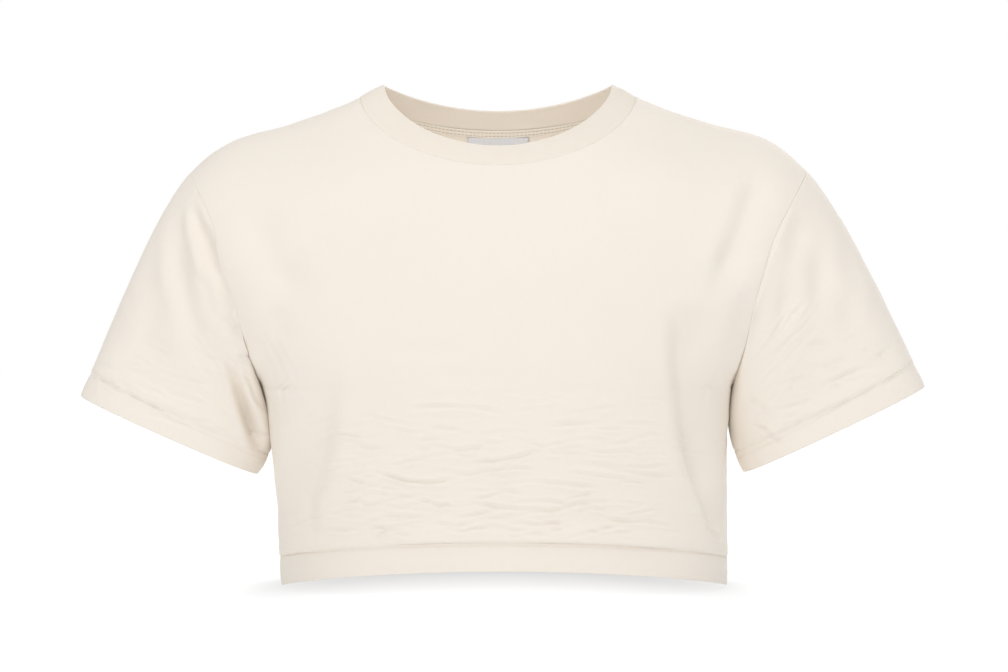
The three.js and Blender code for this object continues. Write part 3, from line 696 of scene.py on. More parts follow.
def cloth_piece(name, outer, inner, lengths, flip, closed, material):
    """A mesh of a piece's outer and inner face, closed along its edges. lengths is its flat map."""
    tall, wide = outer.shape[:2]
    steps = wide if closed else wide - 1
    mapped = lengths.shape[1]

    def quads(i, j, layer_a, layer_b, step):
        """Corner and map numbers of a strip or a field of quads."""
        (ai, aj), (bi, bj), (ci, cj), (di, dj) = step
        corners = [(layer_a, ai, aj), (layer_a, bi, bj), (layer_b, ci, cj), (layer_b, di, dj)]
        faces = [layer * tall * wide + (i + di_) * wide + (j + dj_) % wide for layer, di_, dj_ in corners]
        places = [(i + di_) * mapped + np.minimum(j + dj_, mapped - 1) for _, di_, dj_ in corners]
        return np.stack(faces, -1).reshape(-1, 4), np.stack(places, -1).reshape(-1, 4)

    i, j = np.meshgrid(np.arange(tall - 1), np.arange(steps), indexing="ij")
    bottom = np.zeros(steps, int)
    top = np.full(steps, tall - 1)
    row = np.arange(steps)
    parts = [
        quads(i, j, 0, 0, ((0, 0), (0, 1), (1, 1), (1, 0))),
        quads(i, j, 1, 1, ((0, 0), (1, 0), (1, 1), (0, 1))),
        quads(bottom, row, 0, 1, ((0, 1), (0, 0), (0, 0), (0, 1))),
        quads(top, row, 0, 1, ((0, 0), (0, 1), (0, 1), (0, 0))),
    ]
    if not closed:
        column = np.arange(tall - 1)
        first = np.zeros(tall - 1, int)
        last = np.full(tall - 1, wide - 1)
        parts.append(quads(column, first, 0, 1, ((0, 0), (1, 0), (1, 0), (0, 0))))
        parts.append(quads(column, last, 0, 1, ((1, 0), (0, 0), (0, 0), (1, 0))))
    faces = np.concatenate([p[0] for p in parts])
    places = np.concatenate([p[1] for p in parts])
    if flip < 0:
        faces = faces[:, ::-1]
        places = places[:, ::-1]
    points = np.concatenate([outer.reshape(-1, 3), inner.reshape(-1, 3)]) * MM
    mesh = bpy.data.meshes.new(name)
    mesh.from_pydata(points.tolist(), [], faces.tolist())
    flat_map = mesh.uv_layers.new(name="cloth")
    corners = lengths.reshape(-1, 2)[places.ravel()] * MM
    flat_map.uv.foreach_set("vector", corners.astype(np.float32).ravel())
    mesh.shade_smooth()
    mesh.materials.append(material)
    piece = bpy.data.objects.new(name, mesh)
    bpy.context.scene.collection.objects.link(piece)
    return piece


def two_faces(base, outward, wall, share):
    """Outer and inner face of a wall whose half thickness shrinks to a share of itself at its edges."""
    middle = base - outward * (wall / 2)[..., None]
    half = outward * (wall / 2 * share)[..., None]
    return middle + half, middle - half


# ---------- panels ----------

STRAIGHT_EDGE = 4  # the cloth keeps its own depth this near to a side seam
STRAIGHT_FADE = 18
UNDERARM_SPAN = 60  # above and below the underarm, where the depth is evened out
UNDERARM_FADE = 35
SIDE_FADE = 9  # distances over which folds die out beside the seams
SHOULDER_FADE = 9
NECK_FADE = 16
ARMHOLE_RISE = 18  # above the underarm, where folds begin to run right to the armhole's edge
EDGE_STILL = 2  # no puckers this near to the hem's edge
EDGE_STILL_FADE = 6


def panel_form(side):
    """A panel's outer face with its folds: points, outward directions and lengths along the cloth."""
    away = -1 if side == "front" else 1
    x, z = panel_places(side)
    base = np.stack([x, away * (depth(side, x, z) + SEAM_GAP / 2), z], -1)
    across = run_length(base, 1)
    inward = smooth((np.minimum(across, across[:, -1:] - across) - STRAIGHT_EDGE) / STRAIGHT_FADE)
    beside = inward * smooth((UNDERARM_SPAN - np.abs(z - UNDERARM_Z)) / UNDERARM_FADE)
    base[..., 1] = mix(base[..., 1], away * (eased_depth(side, x, z) + SEAM_GAP / 2), beside)
    outward = normals(base, -away, False)
    # at the side and shoulder seams front and back face each other squarely
    for column in (0, -1):
        outward[: UNDERARM_ROW + 1, column, 1] = 0
    shoulder = np.abs(COLUMNS) >= NECK_SHARE
    seam_x = x[TOP_ROW, shoulder]
    slope = shoulder_z(seam_x - 1) - shoulder_z(seam_x + 1)
    outward[TOP_ROW, shoulder] = np.stack([slope, 0 * slope, 0 * slope + 2], -1)
    outward = unit(outward)

    across = run_length(base, 1)
    from_side = np.minimum(across, across[:, -1:] - across)
    up = run_length(base, 0)
    from_top = up[-1:] - up
    side_fade = np.where(np.arange(len(x)) > UNDERARM_ROW, 1, 0)[:, None]
    side_fade = np.maximum(side_fade * smooth((z - UNDERARM_Z) / ARMHOLE_RISE), smooth(from_side / SIDE_FADE))
    top_fade = np.where(shoulder, smooth(from_top / SHOULDER_FADE), smooth(from_top / NECK_FADE))
    seed = SEEDS[side]
    lift = fold_lift(with_crinkles(PANEL_FOLDS[side], PANEL_CRINKLES[side]), x, z)
    low = smooth((RUMPLE_TOP - z) / RUMPLE_REACH)
    lift += SLACK * unevenness(x, z, seed, SLACK_SIZE)
    lift += mix(*RUMPLE, low) * unevenness(x, z, seed + 1, RUMPLE_SIZE)
    lift += SMALL_RUMPLE * low * unevenness(x + SMALL_RUMPLE_SLANT * z, z, seed + 2, SMALL_RUMPLE_SIZE)
    puff = HEM_SWELL * mix(SIDE_SWELL, 1, smooth(from_side / SIDE_SWELL_REACH))
    hem = hem_lift(up, HEM_DEPTH, x, seed + 3, puff)
    lift = (lift * smooth(up / HEM_DEPTH * HEM_QUIET) + hem) * side_fade * top_fade
    ripple = unevenness(z, z + x, seed + 4, PUCKER_SIZE) * smooth((up - EDGE_STILL) / EDGE_STILL_FADE)
    lift += seam_pucker(np.minimum(from_side, from_top), ripple)
    outer = base + outward * lift[..., None]
    return {
        "outer": outer,
        "outward": outward,
        "from_hem": up,
        "from_side": from_side,
        "from_top": from_top,
        "lengths": np.stack([across - across[:, len(COLUMNS) // 2][:, None], up], -1),
        "flip": -away,
    }


def build_panel(name, form, material):
    from_hem = form["from_hem"]
    wall = hemmed_wall(from_hem, HEM_DEPTH)
    share = rolled(from_hem, TURNED / 2)
    side_share = np.where(COLUMNS < 0, FLAT_SEAM_SHARE, SEAM_SHARE)[None, :]
    top_share = np.where(np.abs(COLUMNS) <= NECK_SHARE, FLAT_SEAM_SHARE, SEAM_SHARE)[None, :]
    share = np.minimum(share, mix(side_share, 1, rolled(form["from_side"], SEAM_ROUND)))
    share = np.minimum(share, mix(top_share, 1, rolled(form["from_top"], SEAM_ROUND)))
    outer, inner = two_faces(form["outer"], form["outward"], wall, share)
    form["face"] = outer
    form["back_face"] = inner
    return cloth_piece(name, outer, inner, form["lengths"], form["flip"], False, material)


# ---------- sleeves ----------


def armhole(front, back, mark):
    """The armhole as a loop: from the shoulder tip down the front, under the arm and up the back."""
    column = -1 if mark > 0 else 0
    down = slice(TOP_ROW, UNDERARM_ROW - 1, -1)
    up = slice(UNDERARM_ROW + 1, TOP_ROW)
    points = np.concatenate([front["outer"][down, column], back["outer"][up, column]])
    outward = np.concatenate([front["outward"][down, column], back["outward"][up, column]])
    return points, outward


FACING = 0.45  # how soon round the sleeve its front and back creases come to full depth
ARMHOLE_FADE = 6


def sleeve_form(name, front, back):
    """A sleeve's outer face with its folds, from the armhole to the cuff, in the same terms as a panel's."""
    spec = CUFFS[name]
    mark = spec["mark"]
    points, outward = armhole(front, back, mark)
    under = TOP_ROW - UNDERARM_ROW
    passed = run_length(points[None], 1, closed=True)[0]
    around = np.where(
        passed <= passed[under],
        0.5 * passed / passed[under],
        0.5 + 0.5 * (passed - passed[under]) / (passed[-1] - passed[under]),
    )[:-1]
    outer_end = np.array([spec["outer"][0], CUFF_MIDDLE_Y, spec["outer"][1]])
    inner_end = np.array([spec["inner"][0], CUFF_MIDDLE_Y, spec["inner"][1]])
    centre = (outer_end + inner_end) / 2
    to_outer = outer_end - centre
    axis = unit(np.array([-to_outer[2], 0, to_outer[0]])) * -mark
    down = unit(np.array([-mark * spec["lean"], 0, -1.0]))
    folded = smooth((UNDERARM_REACH - np.abs(around - 0.5)) / UNDERARM_REACH)[:, None]
    in_cloth = unit(axis - outward * (outward @ axis)[:, None])
    start = unit(mix(in_cloth, down, folded))
    beyond = unit(np.cross(outward, np.roll(points, -1, 0) - np.roll(points, 1, 0))) * mark
    first = points + beyond * SEAM_GAP + outward * UNDERARM_CLEAR * folded
    c = np.cos(around * 2 * math.pi)[:, None]
    s = np.sin(around * 2 * math.pi)[:, None]
    last = centre + to_outer * np.sign(c) * np.abs(c) ** CUFF_FLATNESS
    last = last + np.array([0, -CUFF_HALF_DEPTH, 0]) * np.sign(s) * np.abs(s) ** CUFF_FLATNESS
    long = np.linalg.norm(last - first, axis=1)[:, None]
    cuff_share = 1 - CUFF_DEPTH / long.mean()
    above_cuff = crowded(0, cuff_share, SLEEVE_ROWS)[:-1]
    k = np.concatenate([above_cuff, crowded(cuff_share, 1, CUFF_ROWS, False, True)])[:, None, None]
    base = (
        (2 * k**3 - 3 * k**2 + 1) * first
        + (k**3 - 2 * k**2 + k) * start * long * SLEEVE_START
        + (3 * k**2 - 2 * k**3) * last
        + (k**3 - k**2) * axis * long * mix(1, UNDERARM_HUG, folded)
        + PRESS_SHAPE * k**2 * (1 - k) * folded * np.array([-mark * spec["press"], 0, 0])
    )
    out = normals(base, mark, True)
    out[0] = unit(mix(outward, out[0], folded))
    along = run_length(base, 0)
    from_cuff = along[-1:] - along
    x, z = base[..., 0], base[..., 2]
    in_front = np.sin(around * 2 * math.pi)[None, :]
    lift = np.zeros(x.shape)
    for side, sign in (("front", 1), ("back", -1)):
        folds = with_crinkles(SLEEVE_FOLDS[name, side], SLEEVE_CRINKLES[name])
        lift += smooth(sign * in_front / FACING) * fold_lift(folds, x, z)
    seed = SEEDS[name]
    place = around[None, :] * SLEEVE_GIRTH + 0 * x
    lift += SLEEVE_SLACK * unevenness(place, along, seed, SLEEVE_SLACK_SIZE)
    lift += SLEEVE_RUMPLE * unevenness(place, along, seed + 1, SLEEVE_RUMPLE_SIZE)
    girth = run_length(base, 1, closed=True)
    girth_middle = around[None, :] * girth[:, -1:]
    puff = CUFF_SWELL * mix(UNDER_SWELL, 1, np.abs(in_front))
    hem = hem_lift(from_cuff, CUFF_DEPTH, girth_middle, seed + 2, puff)
    lift = lift * smooth(from_cuff / CUFF_DEPTH * HEM_QUIET) * smooth(along / ARMHOLE_FADE) + hem
    lift += seam_pucker(along, unevenness(girth_middle, along, seed + 3, PUCKER_SIZE))
    return {
        "outer": base + out * lift[..., None],
        "outward": out,
        "along": along,
        "from_cuff": from_cuff,
        "lengths": np.stack([girth, np.concatenate([along, along[:, :1]], 1)], -1),
        "flip": mark,
    }


def build_sleeve(name, form, material):
    wall = hemmed_wall(form["from_cuff"], CUFF_DEPTH)
    share = rolled(form["from_cuff"], TURNED / 2)
    seam_share = SEAM_SHARE if form["flip"] > 0 else FLAT_SEAM_SHARE
    share = np.minimum(share, mix(seam_share, 1, rolled(form["along"], SEAM_ROUND)))
    outer, inner = two_faces(form["outer"], form["outward"], wall, share)
    form["face"] = outer
    return cloth_piece(name, outer, inner, form["lengths"], form["flip"], True, material)


# ---------- neckband, tape and label ----------

BAND_SWELL = 0.7  # the folded strip swells between its seam and its fold
BAND_SWELL_SHAPE = 0.8
BAND_PULL = 0.25  # and is drawn in unevenly by the seam
BAND_PULL_SIZE = (8, 40)
BAND_PULL_REACH = 5
BAND_PULL_START = 2


def rim_places(side, turn):
    """Places of the neckband's free edge, for a turn from -1 to 1 across the neck."""
    angle = turn * math.pi / 2
    c = np.maximum(np.cos(angle), 0)
    return np.stack(
        [RIM_HALF * np.sin(angle), RIM_OUT[side] * c, RIM_RISE - RIM_DROP[side] * c ** RIM_SHAPE[side]], -1
    )


def band_form(front, back):
    """The neckband's outer face, from the neck seam to its free edge."""
    neck = slice(NECK_FIRST, NECK_FIRST + NECK_COLUMNS + 1)
    turn = COLUMNS[neck] / NECK_SHARE
    front_seam = front["outer"][TOP_ROW, neck].copy()
    front_out = front["outward"][TOP_ROW, neck].copy()
    front_seam[[0, -1], 1] = 0
    inner_columns = slice(NECK_FIRST + NECK_COLUMNS - 1, NECK_FIRST, -1)
    seam = np.concatenate([front_seam, back["outer"][TOP_ROW, inner_columns]])
    out = np.concatenate([front_out, back["outward"][TOP_ROW, inner_columns]])
    rim = np.concatenate([rim_places("front", turn), rim_places("back", turn[::-1][1:-1])])
    beyond = unit(np.cross(out, np.roll(seam, -1, 0) - np.roll(seam, 1, 0)))
    first = seam + beyond * SEAM_GAP
    k = crowded(0, 1, BAND_ROWS, True, True)[:, None, None]
    base = mix(first[None], rim[None], k)
    outward = normals(base, 1, True)
    outward[0] = unit(out + outward[0])
    along = run_length(base, 0)
    from_rim = along[-1:] - along
    girth = run_length(base, 1, closed=True)
    swell = BAND_SWELL * np.sin(np.clip(along / along[-1:], 0, 1) * math.pi) ** BAND_SWELL_SHAPE
    pull = BAND_PULL * unevenness(girth[:, :-1], along, SEEDS["neckband"], BAND_PULL_SIZE)
    pull = pull * bell(along, BAND_PULL_REACH) * smooth(along / BAND_PULL_START)
    return {
        "outer": base + outward * (swell + pull)[..., None],
        "outward": outward,
        "along": along,
        "from_rim": from_rim,
        "lengths": np.stack([girth, np.concatenate([along, along[:, :1]], 1)], -1),
    }


def build_band(form, material):
    wall = BAND_WALL + 0 * form["along"]
    share = rolled(form["from_rim"], BAND_WALL / 2)
    share = np.minimum(share, mix(FLAT_SEAM_SHARE, 1, rolled(form["along"], SEAM_ROUND)))
    outer, inner = two_faces(form["outer"], form["outward"], wall, share)
    return cloth_piece("neckband_rib", outer, inner, form["lengths"], 1, True, material)


TAPE_WIDTH = 7.1  # how far the neck tape reaches down from the band's seam
TAPE_WALL = 1.0
TAPE_ROWS = 30
TAPE_TOP = 0.1  # from the neck seam to its upper edge
TAPE_ENDS = 4  # columns of the neck that it leaves free at each end
TAPE_STITCHES = (5.8, 2.6)  # distances of its lower and upper row of stitches from the neck seam
TAPE_STITCH_HALF = 0.5
TAPE_STITCH_SINK = 0.8
TAPE_STAND = 0.3  # how far it stands off the back
TAPE_BED = 0.2  # from the back's inner face to the tape's own back
PIPING = 0.7  # the rounded seam allowance under the tape's upper edge
PIPING_PLACE = 2.3
PIPING_FADE = 0.8


def tape_places(back, down):
    """Places on the back's inner face at distances down from the neck seam, with their outward directions."""
    columns = slice(NECK_FIRST + TAPE_ENDS, NECK_FIRST + NECK_COLUMNS + 1 - TAPE_ENDS)
    from_top = back["from_top"][:, columns]
    inner = back["back_face"][:, columns]
    outward = back["outward"][:, columns]
    places = np.zeros((len(down), inner.shape[1], 3))
    directions = np.zeros_like(places)
    for j in range(inner.shape[1]):
        order = np.argsort(from_top[:, j])
        for axis in range(3):
            places[:, j, axis] = np.interp(down, from_top[order, j], inner[order, j, axis])
            directions[:, j, axis] = np.interp(down, from_top[order, j], outward[order, j, axis])
    return places, unit(directions)


def build_tape(back, material):
    """The tape over the seam of the back neck, and the paths of its two rows of stitches."""
    down = np.linspace(TAPE_WIDTH, TAPE_TOP, TAPE_ROWS)
    places, outward = tape_places(back, down)
    from_seam = down[:, None]
    groove = TAPE_STITCH_SINK * bell(from_seam - TAPE_STITCHES[0], TAPE_STITCH_HALF)
    stand = TAPE_STAND + PIPING * smooth((PIPING_PLACE - from_seam) / PIPING_FADE) - groove
    face = places - outward * (stand + TAPE_WALL)[..., None]
    reverse = places - outward * TAPE_BED
    across = run_length(face, 1)
    lengths = np.stack([across, TAPE_WIDTH - from_seam + 0 * across], -1)
    piece = cloth_piece("neck_tape_strip", reverse, face, lengths, -1, False, material)
    rows = [int(np.argmin(np.abs(down - place))) for place in TAPE_STITCHES]
    return piece, [(face[row], -outward[row]) for row in rows]


LABEL_WIDTH = 50
LABEL_HEIGHT = 30
LABEL_WALL = 0.5
LABEL_TOP = -28.6
LABEL_OFF = 1.9  # from the back's outer face to the label
LABEL_GRID = (41, 31)  # points across and down
LABEL_SLACK = 0.9  # how far it hangs away from the back, and how soon below its top
LABEL_SLACK_REACH = 14
LABEL_WAVE = 0.35
LABEL_WAVE_WIDTH = 9.0
LABEL_WAVE_REACH = 10
LABEL_TOP_EDGE = 0.6  # the top edge, held under the tape, is rounded less than the others
LABEL_EDGE = 0.9
LABEL_EDGE_SHARE = 0.7


def build_label(material):
    """A blank woven label: sewn in under the tape, a little slack."""
    across = np.linspace(-0.5, 0.5, LABEL_GRID[0]) * LABEL_WIDTH
    down = np.linspace(0, 1, LABEL_GRID[1]) * LABEL_HEIGHT
    x, drop = np.meshgrid(across, down[::-1])
    z = LABEL_TOP - drop
    slack = LABEL_SLACK * smooth(drop / LABEL_SLACK_REACH)
    slack = slack + LABEL_WAVE * np.sin(x / LABEL_WAVE_WIDTH) * smooth(drop / LABEL_WAVE_REACH)
    y = depth("back", x, z) - LABEL_OFF - slack
    base = np.stack([x, y, z], -1)
    outward = normals(base, -1, False)
    edge = np.minimum(LABEL_WIDTH / 2 - np.abs(x), np.minimum(drop + LABEL_TOP_EDGE, LABEL_HEIGHT - drop))
    share = mix(LABEL_EDGE_SHARE, 1, rolled(edge, LABEL_EDGE))
    outer, inner = two_faces(base, outward, LABEL_WALL + 0 * x, share)
    lengths = np.stack([x, LABEL_HEIGHT - drop], -1)
    return cloth_piece("label_blank", outer, inner, lengths, -1, False, material)


# ---------- stitches ----------

STITCH_PITCH = 3.2
STITCH_LONG = 2.5
STITCH_RADIUS = 0.26
STITCH_ARCH = 0.12
STITCH_SUNK = 0.02
STITCH_SIDES = 6
STITCH_RINGS = ((-1, 0.15), (-0.8, 0.75), (-0.35, 1), (0.35, 1), (0.8, 0.75), (1, 0.15))  # place, thickness


def sew(name, path, outward, material, closed=False):
    """A row of stitches along a path on the cloth: short rounded threads, half sunk into it."""
    if closed:
        path = np.vstack([path, path[:1]])
        outward = np.vstack([outward, outward[:1]])
    passed = np.concatenate([[0], np.cumsum(np.linalg.norm(np.diff(path, axis=0), axis=1))])
    count = int(passed[-1] / STITCH_PITCH)
    sides = STITCH_SIDES
    points = []
    faces = []
    for k in range(count):
        centre = (k + 0.5) * passed[-1] / count
        ends = [centre - STITCH_LONG / 2, centre + STITCH_LONG / 2]
        a, b = (np.array([np.interp(e, passed, path[:, n]) for n in range(3)]) for e in ends)
        up = unit(np.array([np.interp(centre, passed, outward[:, n]) for n in range(3)]))
        run = unit(b - a)
        aside = unit(np.cross(run, up))
        up = np.cross(aside, run)
        first = len(points)
        for t, r in STITCH_RINGS:
            arch = STITCH_ARCH * (1 - t * t)
            middle = (a + b) / 2 + (b - a) / 2 * t + up * (arch - STITCH_SUNK)
            for s in range(sides):
                angle = 2 * math.pi * s / sides
                points.append(middle + STITCH_RADIUS * r * (aside * math.cos(angle) + up * math.sin(angle)))
        for ring in range(len(STITCH_RINGS) - 1):
            for s in range(sides):
                p = first + ring * sides + s
                q = first + ring * sides + (s + 1) % sides
                faces.append((p, q, q + sides, p + sides))
        faces.append(tuple(range(first + sides - 1, first - 1, -1)))
        faces.append(tuple(range(len(points) - sides, len(points))))
    mesh = bpy.data.meshes.new(name)
    mesh.from_pydata((np.array(points) * MM).tolist(), [], faces)
    mesh.shade_smooth()
    mesh.materials.append(material)
    piece = bpy.data.objects.new(name, mesh)
    bpy.context.scene.collection.objects.link(piece)
    return piece


# ---------- materials ----------


def node(tree, kind, inputs=None, **settings):
    made = tree.nodes.new(kind)
    for name, value in settings.items():
        setattr(made, name, value)
    for name, value in (inputs or {}).items():
        if isinstance(value, bpy.types.NodeSocket):
            tree.links.new(value, made.inputs[name])
        else:
            made.inputs[name].default_value = value
    return made


def calc(tree, operation, a, b=0.0, c=0.0):
    return node(tree, "ShaderNodeMath", {0: a, 1: b, 2: c}, operation=operation).outputs[0]


def new_group(name, inputs, outputs):
    group = bpy.data.node_groups.new(name, "ShaderNodeTree")
    for label, kind, value in inputs:
        socket = group.interface.new_socket(name=label, in_out="INPUT", socket_type=kind)
        if value is not None:
            socket.default_value = value
    for label, kind in outputs:
        group.interface.new_socket(name=label, in_out="OUTPUT", socket_type=kind)
    return group, group.nodes.new("NodeGroupInput"), group.nodes.new("NodeGroupOutput")


def knit_group():
    """Loops of a knitted cloth: raised wales that run up the piece, crossed by courses."""
    group, given, result = new_group(
        "knitted_loops",
        [
            ("Place", "NodeSocketVector", None),
            ("Wales per m", "NodeSocketFloat", 1300.0),
            ("Courses per m", "NodeSocketFloat", 1700.0),
            ("Zigzag", "NodeSocketFloat", 0.9),
        ],
        [("Height", "NodeSocketFloat")],
    )
    split = node(group, "ShaderNodeSeparateXYZ", {0: given.outputs["Place"]})
    drift = node(
        group, "ShaderNodeTexNoise", {"Vector": given.outputs["Place"], "Scale": 90.0, "Detail": 1.0}
    ).outputs["Fac"]

    def turns(place, per_metre):
        count = calc(group, "MULTIPLY", place, per_metre)
        return calc(group, "MULTIPLY", calc(group, "ADD", count, drift), 2 * math.pi)

    wale = turns(split.outputs[0], given.outputs["Wales per m"])
    course = turns(split.outputs[1], given.outputs["Courses per m"])
    bend = calc(group, "MULTIPLY", calc(group, "SINE", course), given.outputs["Zigzag"])
    ridge = calc(group, "SINE", calc(group, "ADD", wale, bend))
    loop = calc(group, "MULTIPLY_ADD", calc(group, "COSINE", course), 0.3, 0.7)
    height = calc(group, "MULTIPLY_ADD", calc(group, "MULTIPLY", ridge, loop), 0.5, 0.5)
    group.links.new(height, result.inputs["Height"])
    return group


CLOUDS = 0.7  # share of the slow clouds in the washed tone
SLUBS = 0.3  # and of the small uneven yarns


def wear_group():
    """Slow, cloudy differences of tone in washed cotton, and the fuzz of its surface."""
    group, given, result = new_group(
        "washed_cotton",
        [("Place", "NodeSocketVector", None), ("Cloud size per m", "NodeSocketFloat", 9.0)],
        [("Tone", "NodeSocketFloat"), ("Fuzz", "NodeSocketFloat")],
    )
    place = given.outputs["Place"]
    cloud = node(
        group,
        "ShaderNodeTexNoise",
        {"Vector": place, "Scale": given.outputs["Cloud size per m"], "Detail": 3.0, "Roughness": 0.55},
    ).outputs["Fac"]
    slub = node(group, "ShaderNodeTexNoise", {"Vector": place, "Scale": 260.0, "Detail": 2.0}).outputs["Fac"]
    tone = calc(group, "MULTIPLY_ADD", cloud, CLOUDS, calc(group, "MULTIPLY", slub, SLUBS))
    fuzz = node(
        group, "ShaderNodeTexNoise", {"Vector": place, "Scale": 900.0, "Detail": 3.0, "Roughness": 0.7}
    ).outputs["Fac"]
    group.links.new(tone, result.inputs["Tone"])
    group.links.new(fuzz, result.inputs["Fuzz"])
    return group


KNIT = knit_group()
WEAR = wear_group()

PAINTED_LOOP_SHADE = 0.25  # share of the darker tone between the loops, a painted shade of their hollows
CLOUD_SHADE = 0.9  # and in the clouds of the washed tone
ROUGHNESS = (0.82, 0.12)  # least, and what the washed tone adds
FUZZ_HEIGHT = 0.35
RELIEF_STRENGTH = 0.6
SHEEN_ROUGHNESS = 0.55
SHEEN_TINT = (1.0, 0.97, 0.92, 1)
GLOSS = 0.25


def cotton(name, light, dark, wales, courses, zigzag, relief, sheen=0.25, mapped=True):
    """A matt cotton finish: washed tone, knitted or woven relief with painted shade between its loops, and
    fuzz.
    """
    material = bpy.data.materials.new(name)
    material.use_nodes = True
    tree = material.node_tree
    shader = tree.nodes["Principled BSDF"]
    if mapped:
        place = node(tree, "ShaderNodeUVMap", uv_map="cloth").outputs["UV"]
    else:
        place = node(tree, "ShaderNodeTexCoord").outputs["Object"]
    solid = node(tree, "ShaderNodeTexCoord").outputs["Object"]
    wear = node(tree, "ShaderNodeGroup", {}, node_tree=WEAR)
    tree.links.new(solid, wear.inputs["Place"])
    knit = node(tree, "ShaderNodeGroup", {}, node_tree=KNIT)
    tree.links.new(place, knit.inputs["Place"])
    knit.inputs["Wales per m"].default_value = wales
    knit.inputs["Courses per m"].default_value = courses
    knit.inputs["Zigzag"].default_value = zigzag
    # darker where the knit is low: painted shade in the hollows between the loops
    between = calc(tree, "MULTIPLY_ADD", knit.outputs["Height"], -PAINTED_LOOP_SHADE, PAINTED_LOOP_SHADE)
    amount = calc(tree, "MULTIPLY_ADD", wear.outputs["Tone"], CLOUD_SHADE, between)
    colour = node(tree, "ShaderNodeMix", {0: amount, 6: (*light, 1), 7: (*dark, 1)}, data_type="RGBA")
    tree.links.new(colour.outputs[2], shader.inputs["Base Color"])
    roughness = calc(tree, "MULTIPLY_ADD", wear.outputs["Tone"], ROUGHNESS[1], ROUGHNESS[0])
    tree.links.new(roughness, shader.inputs["Roughness"])
    height = calc(tree, "MULTIPLY_ADD", wear.outputs["Fuzz"], FUZZ_HEIGHT, knit.outputs["Height"])
    bump = node(tree, "ShaderNodeBump", {"Height": height, "Strength": RELIEF_STRENGTH, "Distance": relief})
    tree.links.new(bump.outputs["Normal"], shader.inputs["Normal"])
    shader.inputs["Sheen Weight"].default_value = sheen
    shader.inputs["Sheen Roughness"].default_value = SHEEN_ROUGHNESS
    shader.inputs["Sheen Tint"].default_value = SHEEN_TINT
    shader.inputs["Specular IOR Level"].default_value = GLOSS
    return material


# ---------- camera ----------

CAMERA_DISTANCE = 2.4
VIEW_WIDTH = 0.8064  # seen across the whole view, at the plane of the side seams
CAMERA_X = 0.0048
CAMERA_Z = -0.1912


def make_camera():
    data = bpy.data.cameras.new("camera")
    data.sensor_width = 36
    data.lens = data.sensor_width * CAMERA_DISTANCE / VIEW_WIDTH
    data.dof.use_dof = False
    camera = bpy.data.objects.new("camera", data)
    camera.location = (CAMERA_X, -CAMERA_DISTANCE, CAMERA_Z)
    camera.rotation_euler = (math.pi / 2, 0, 0)
    bpy.context.scene.collection.objects.link(camera)
    bpy.context.scene.camera = camera


# ---------- light and floor ----------

FLOOR_DROP = 0.0012  # the floor lies just below the lowest corners of the hem
FLOOR_HALF = 12
FLOOR_WHITE = 0.1
FLOOR_ROUGHNESS = 0.9
PAINTED_SHADE_GLOW = 0.62  # glow of the white floor in the soft shade that is painted under the garment
OPEN_GLOW = 0.99  # and in the open
SHADE_LINE = 0.15  # the painted shade is deepest along a bowed line under the back of the garment
SHADE_BOW = 4.0
SHADE_AHEAD = 0.22  # how far it reaches from that line to the front
SHADE_BEHIND = 0.1
SHADE_HALF = 0.215  # and to each side
SHADE_SIDES = 4.0  # how squarely it ends there
SKY = 0.5


def white_sweep():
    """A white floor that glows like a lit sweep, with a soft shade painted into its glow under the garment;
    clear from below.
    """
    material = bpy.data.materials.new("white_sweep")
    material.use_nodes = True
    tree = material.node_tree
    shader = tree.nodes["Principled BSDF"]
    shader.inputs["Base Color"].default_value = (FLOOR_WHITE, FLOOR_WHITE, FLOOR_WHITE, 1)
    shader.inputs["Roughness"].default_value = FLOOR_ROUGHNESS
    shader.inputs["Specular IOR Level"].default_value = 0.0
    place = node(tree, "ShaderNodeTexCoord").outputs["Object"]
    split = node(tree, "ShaderNodeSeparateXYZ", {0: place})
    x = split.outputs[0]
    bowed = calc(tree, "MULTIPLY_ADD", calc(tree, "MULTIPLY", x, x), SHADE_BOW, split.outputs[1])
    ahead = calc(tree, "SUBTRACT", SHADE_LINE, bowed)
    to_front = calc(tree, "DIVIDE", ahead, SHADE_AHEAD)
    reach = calc(tree, "MAXIMUM", to_front, calc(tree, "DIVIDE", ahead, -SHADE_BEHIND))
    aside = calc(tree, "ABSOLUTE", calc(tree, "DIVIDE", x, SHADE_HALF))
    aside = calc(tree, "POWER", aside, SHADE_SIDES)
    away = calc(tree, "MULTIPLY_ADD", reach, reach, calc(tree, "MULTIPLY", aside, aside))
    away = calc(tree, "SQRT", away)
    # the floor's glow dims near the garment: this is painted shade, not a cast shadow
    spread = node(tree, "ShaderNodeMapRange", {0: away, 1: 0.0, 2: 1.0, 3: PAINTED_SHADE_GLOW, 4: OPEN_GLOW})
    level_glow = spread.outputs[0]
    glow = node(tree, "ShaderNodeCombineColor", {0: level_glow, 1: level_glow, 2: level_glow})
    tree.links.new(glow.outputs[0], shader.inputs["Emission Color"])
    shader.inputs["Emission Strength"].default_value = 1.0
    below = node(tree, "ShaderNodeNewGeometry").outputs["Backfacing"]
    clear = node(tree, "ShaderNodeBsdfTransparent").outputs[0]
    shown = node(tree, "ShaderNodeMixShader", {0: below, 1: shader.outputs[0], 2: clear})
    tree.links.new(shown.outputs[0], tree.nodes["Material Output"].inputs["Surface"])
    return material


def make_floor():
    z = cad_box[0][2] - FLOOR_DROP
    corners = [(x * FLOOR_HALF, y * FLOOR_HALF, z) for x, y in ((-1, -1), (1, -1), (1, 1), (-1, 1))]
    mesh = bpy.data.meshes.new("floor")
    mesh.from_pydata(corners, [], [(0, 1, 2, 3)])
    mesh.materials.append(white_sweep())
    floor = bpy.data.objects.new("floor", mesh)
    bpy.context.scene.collection.objects.link(floor)


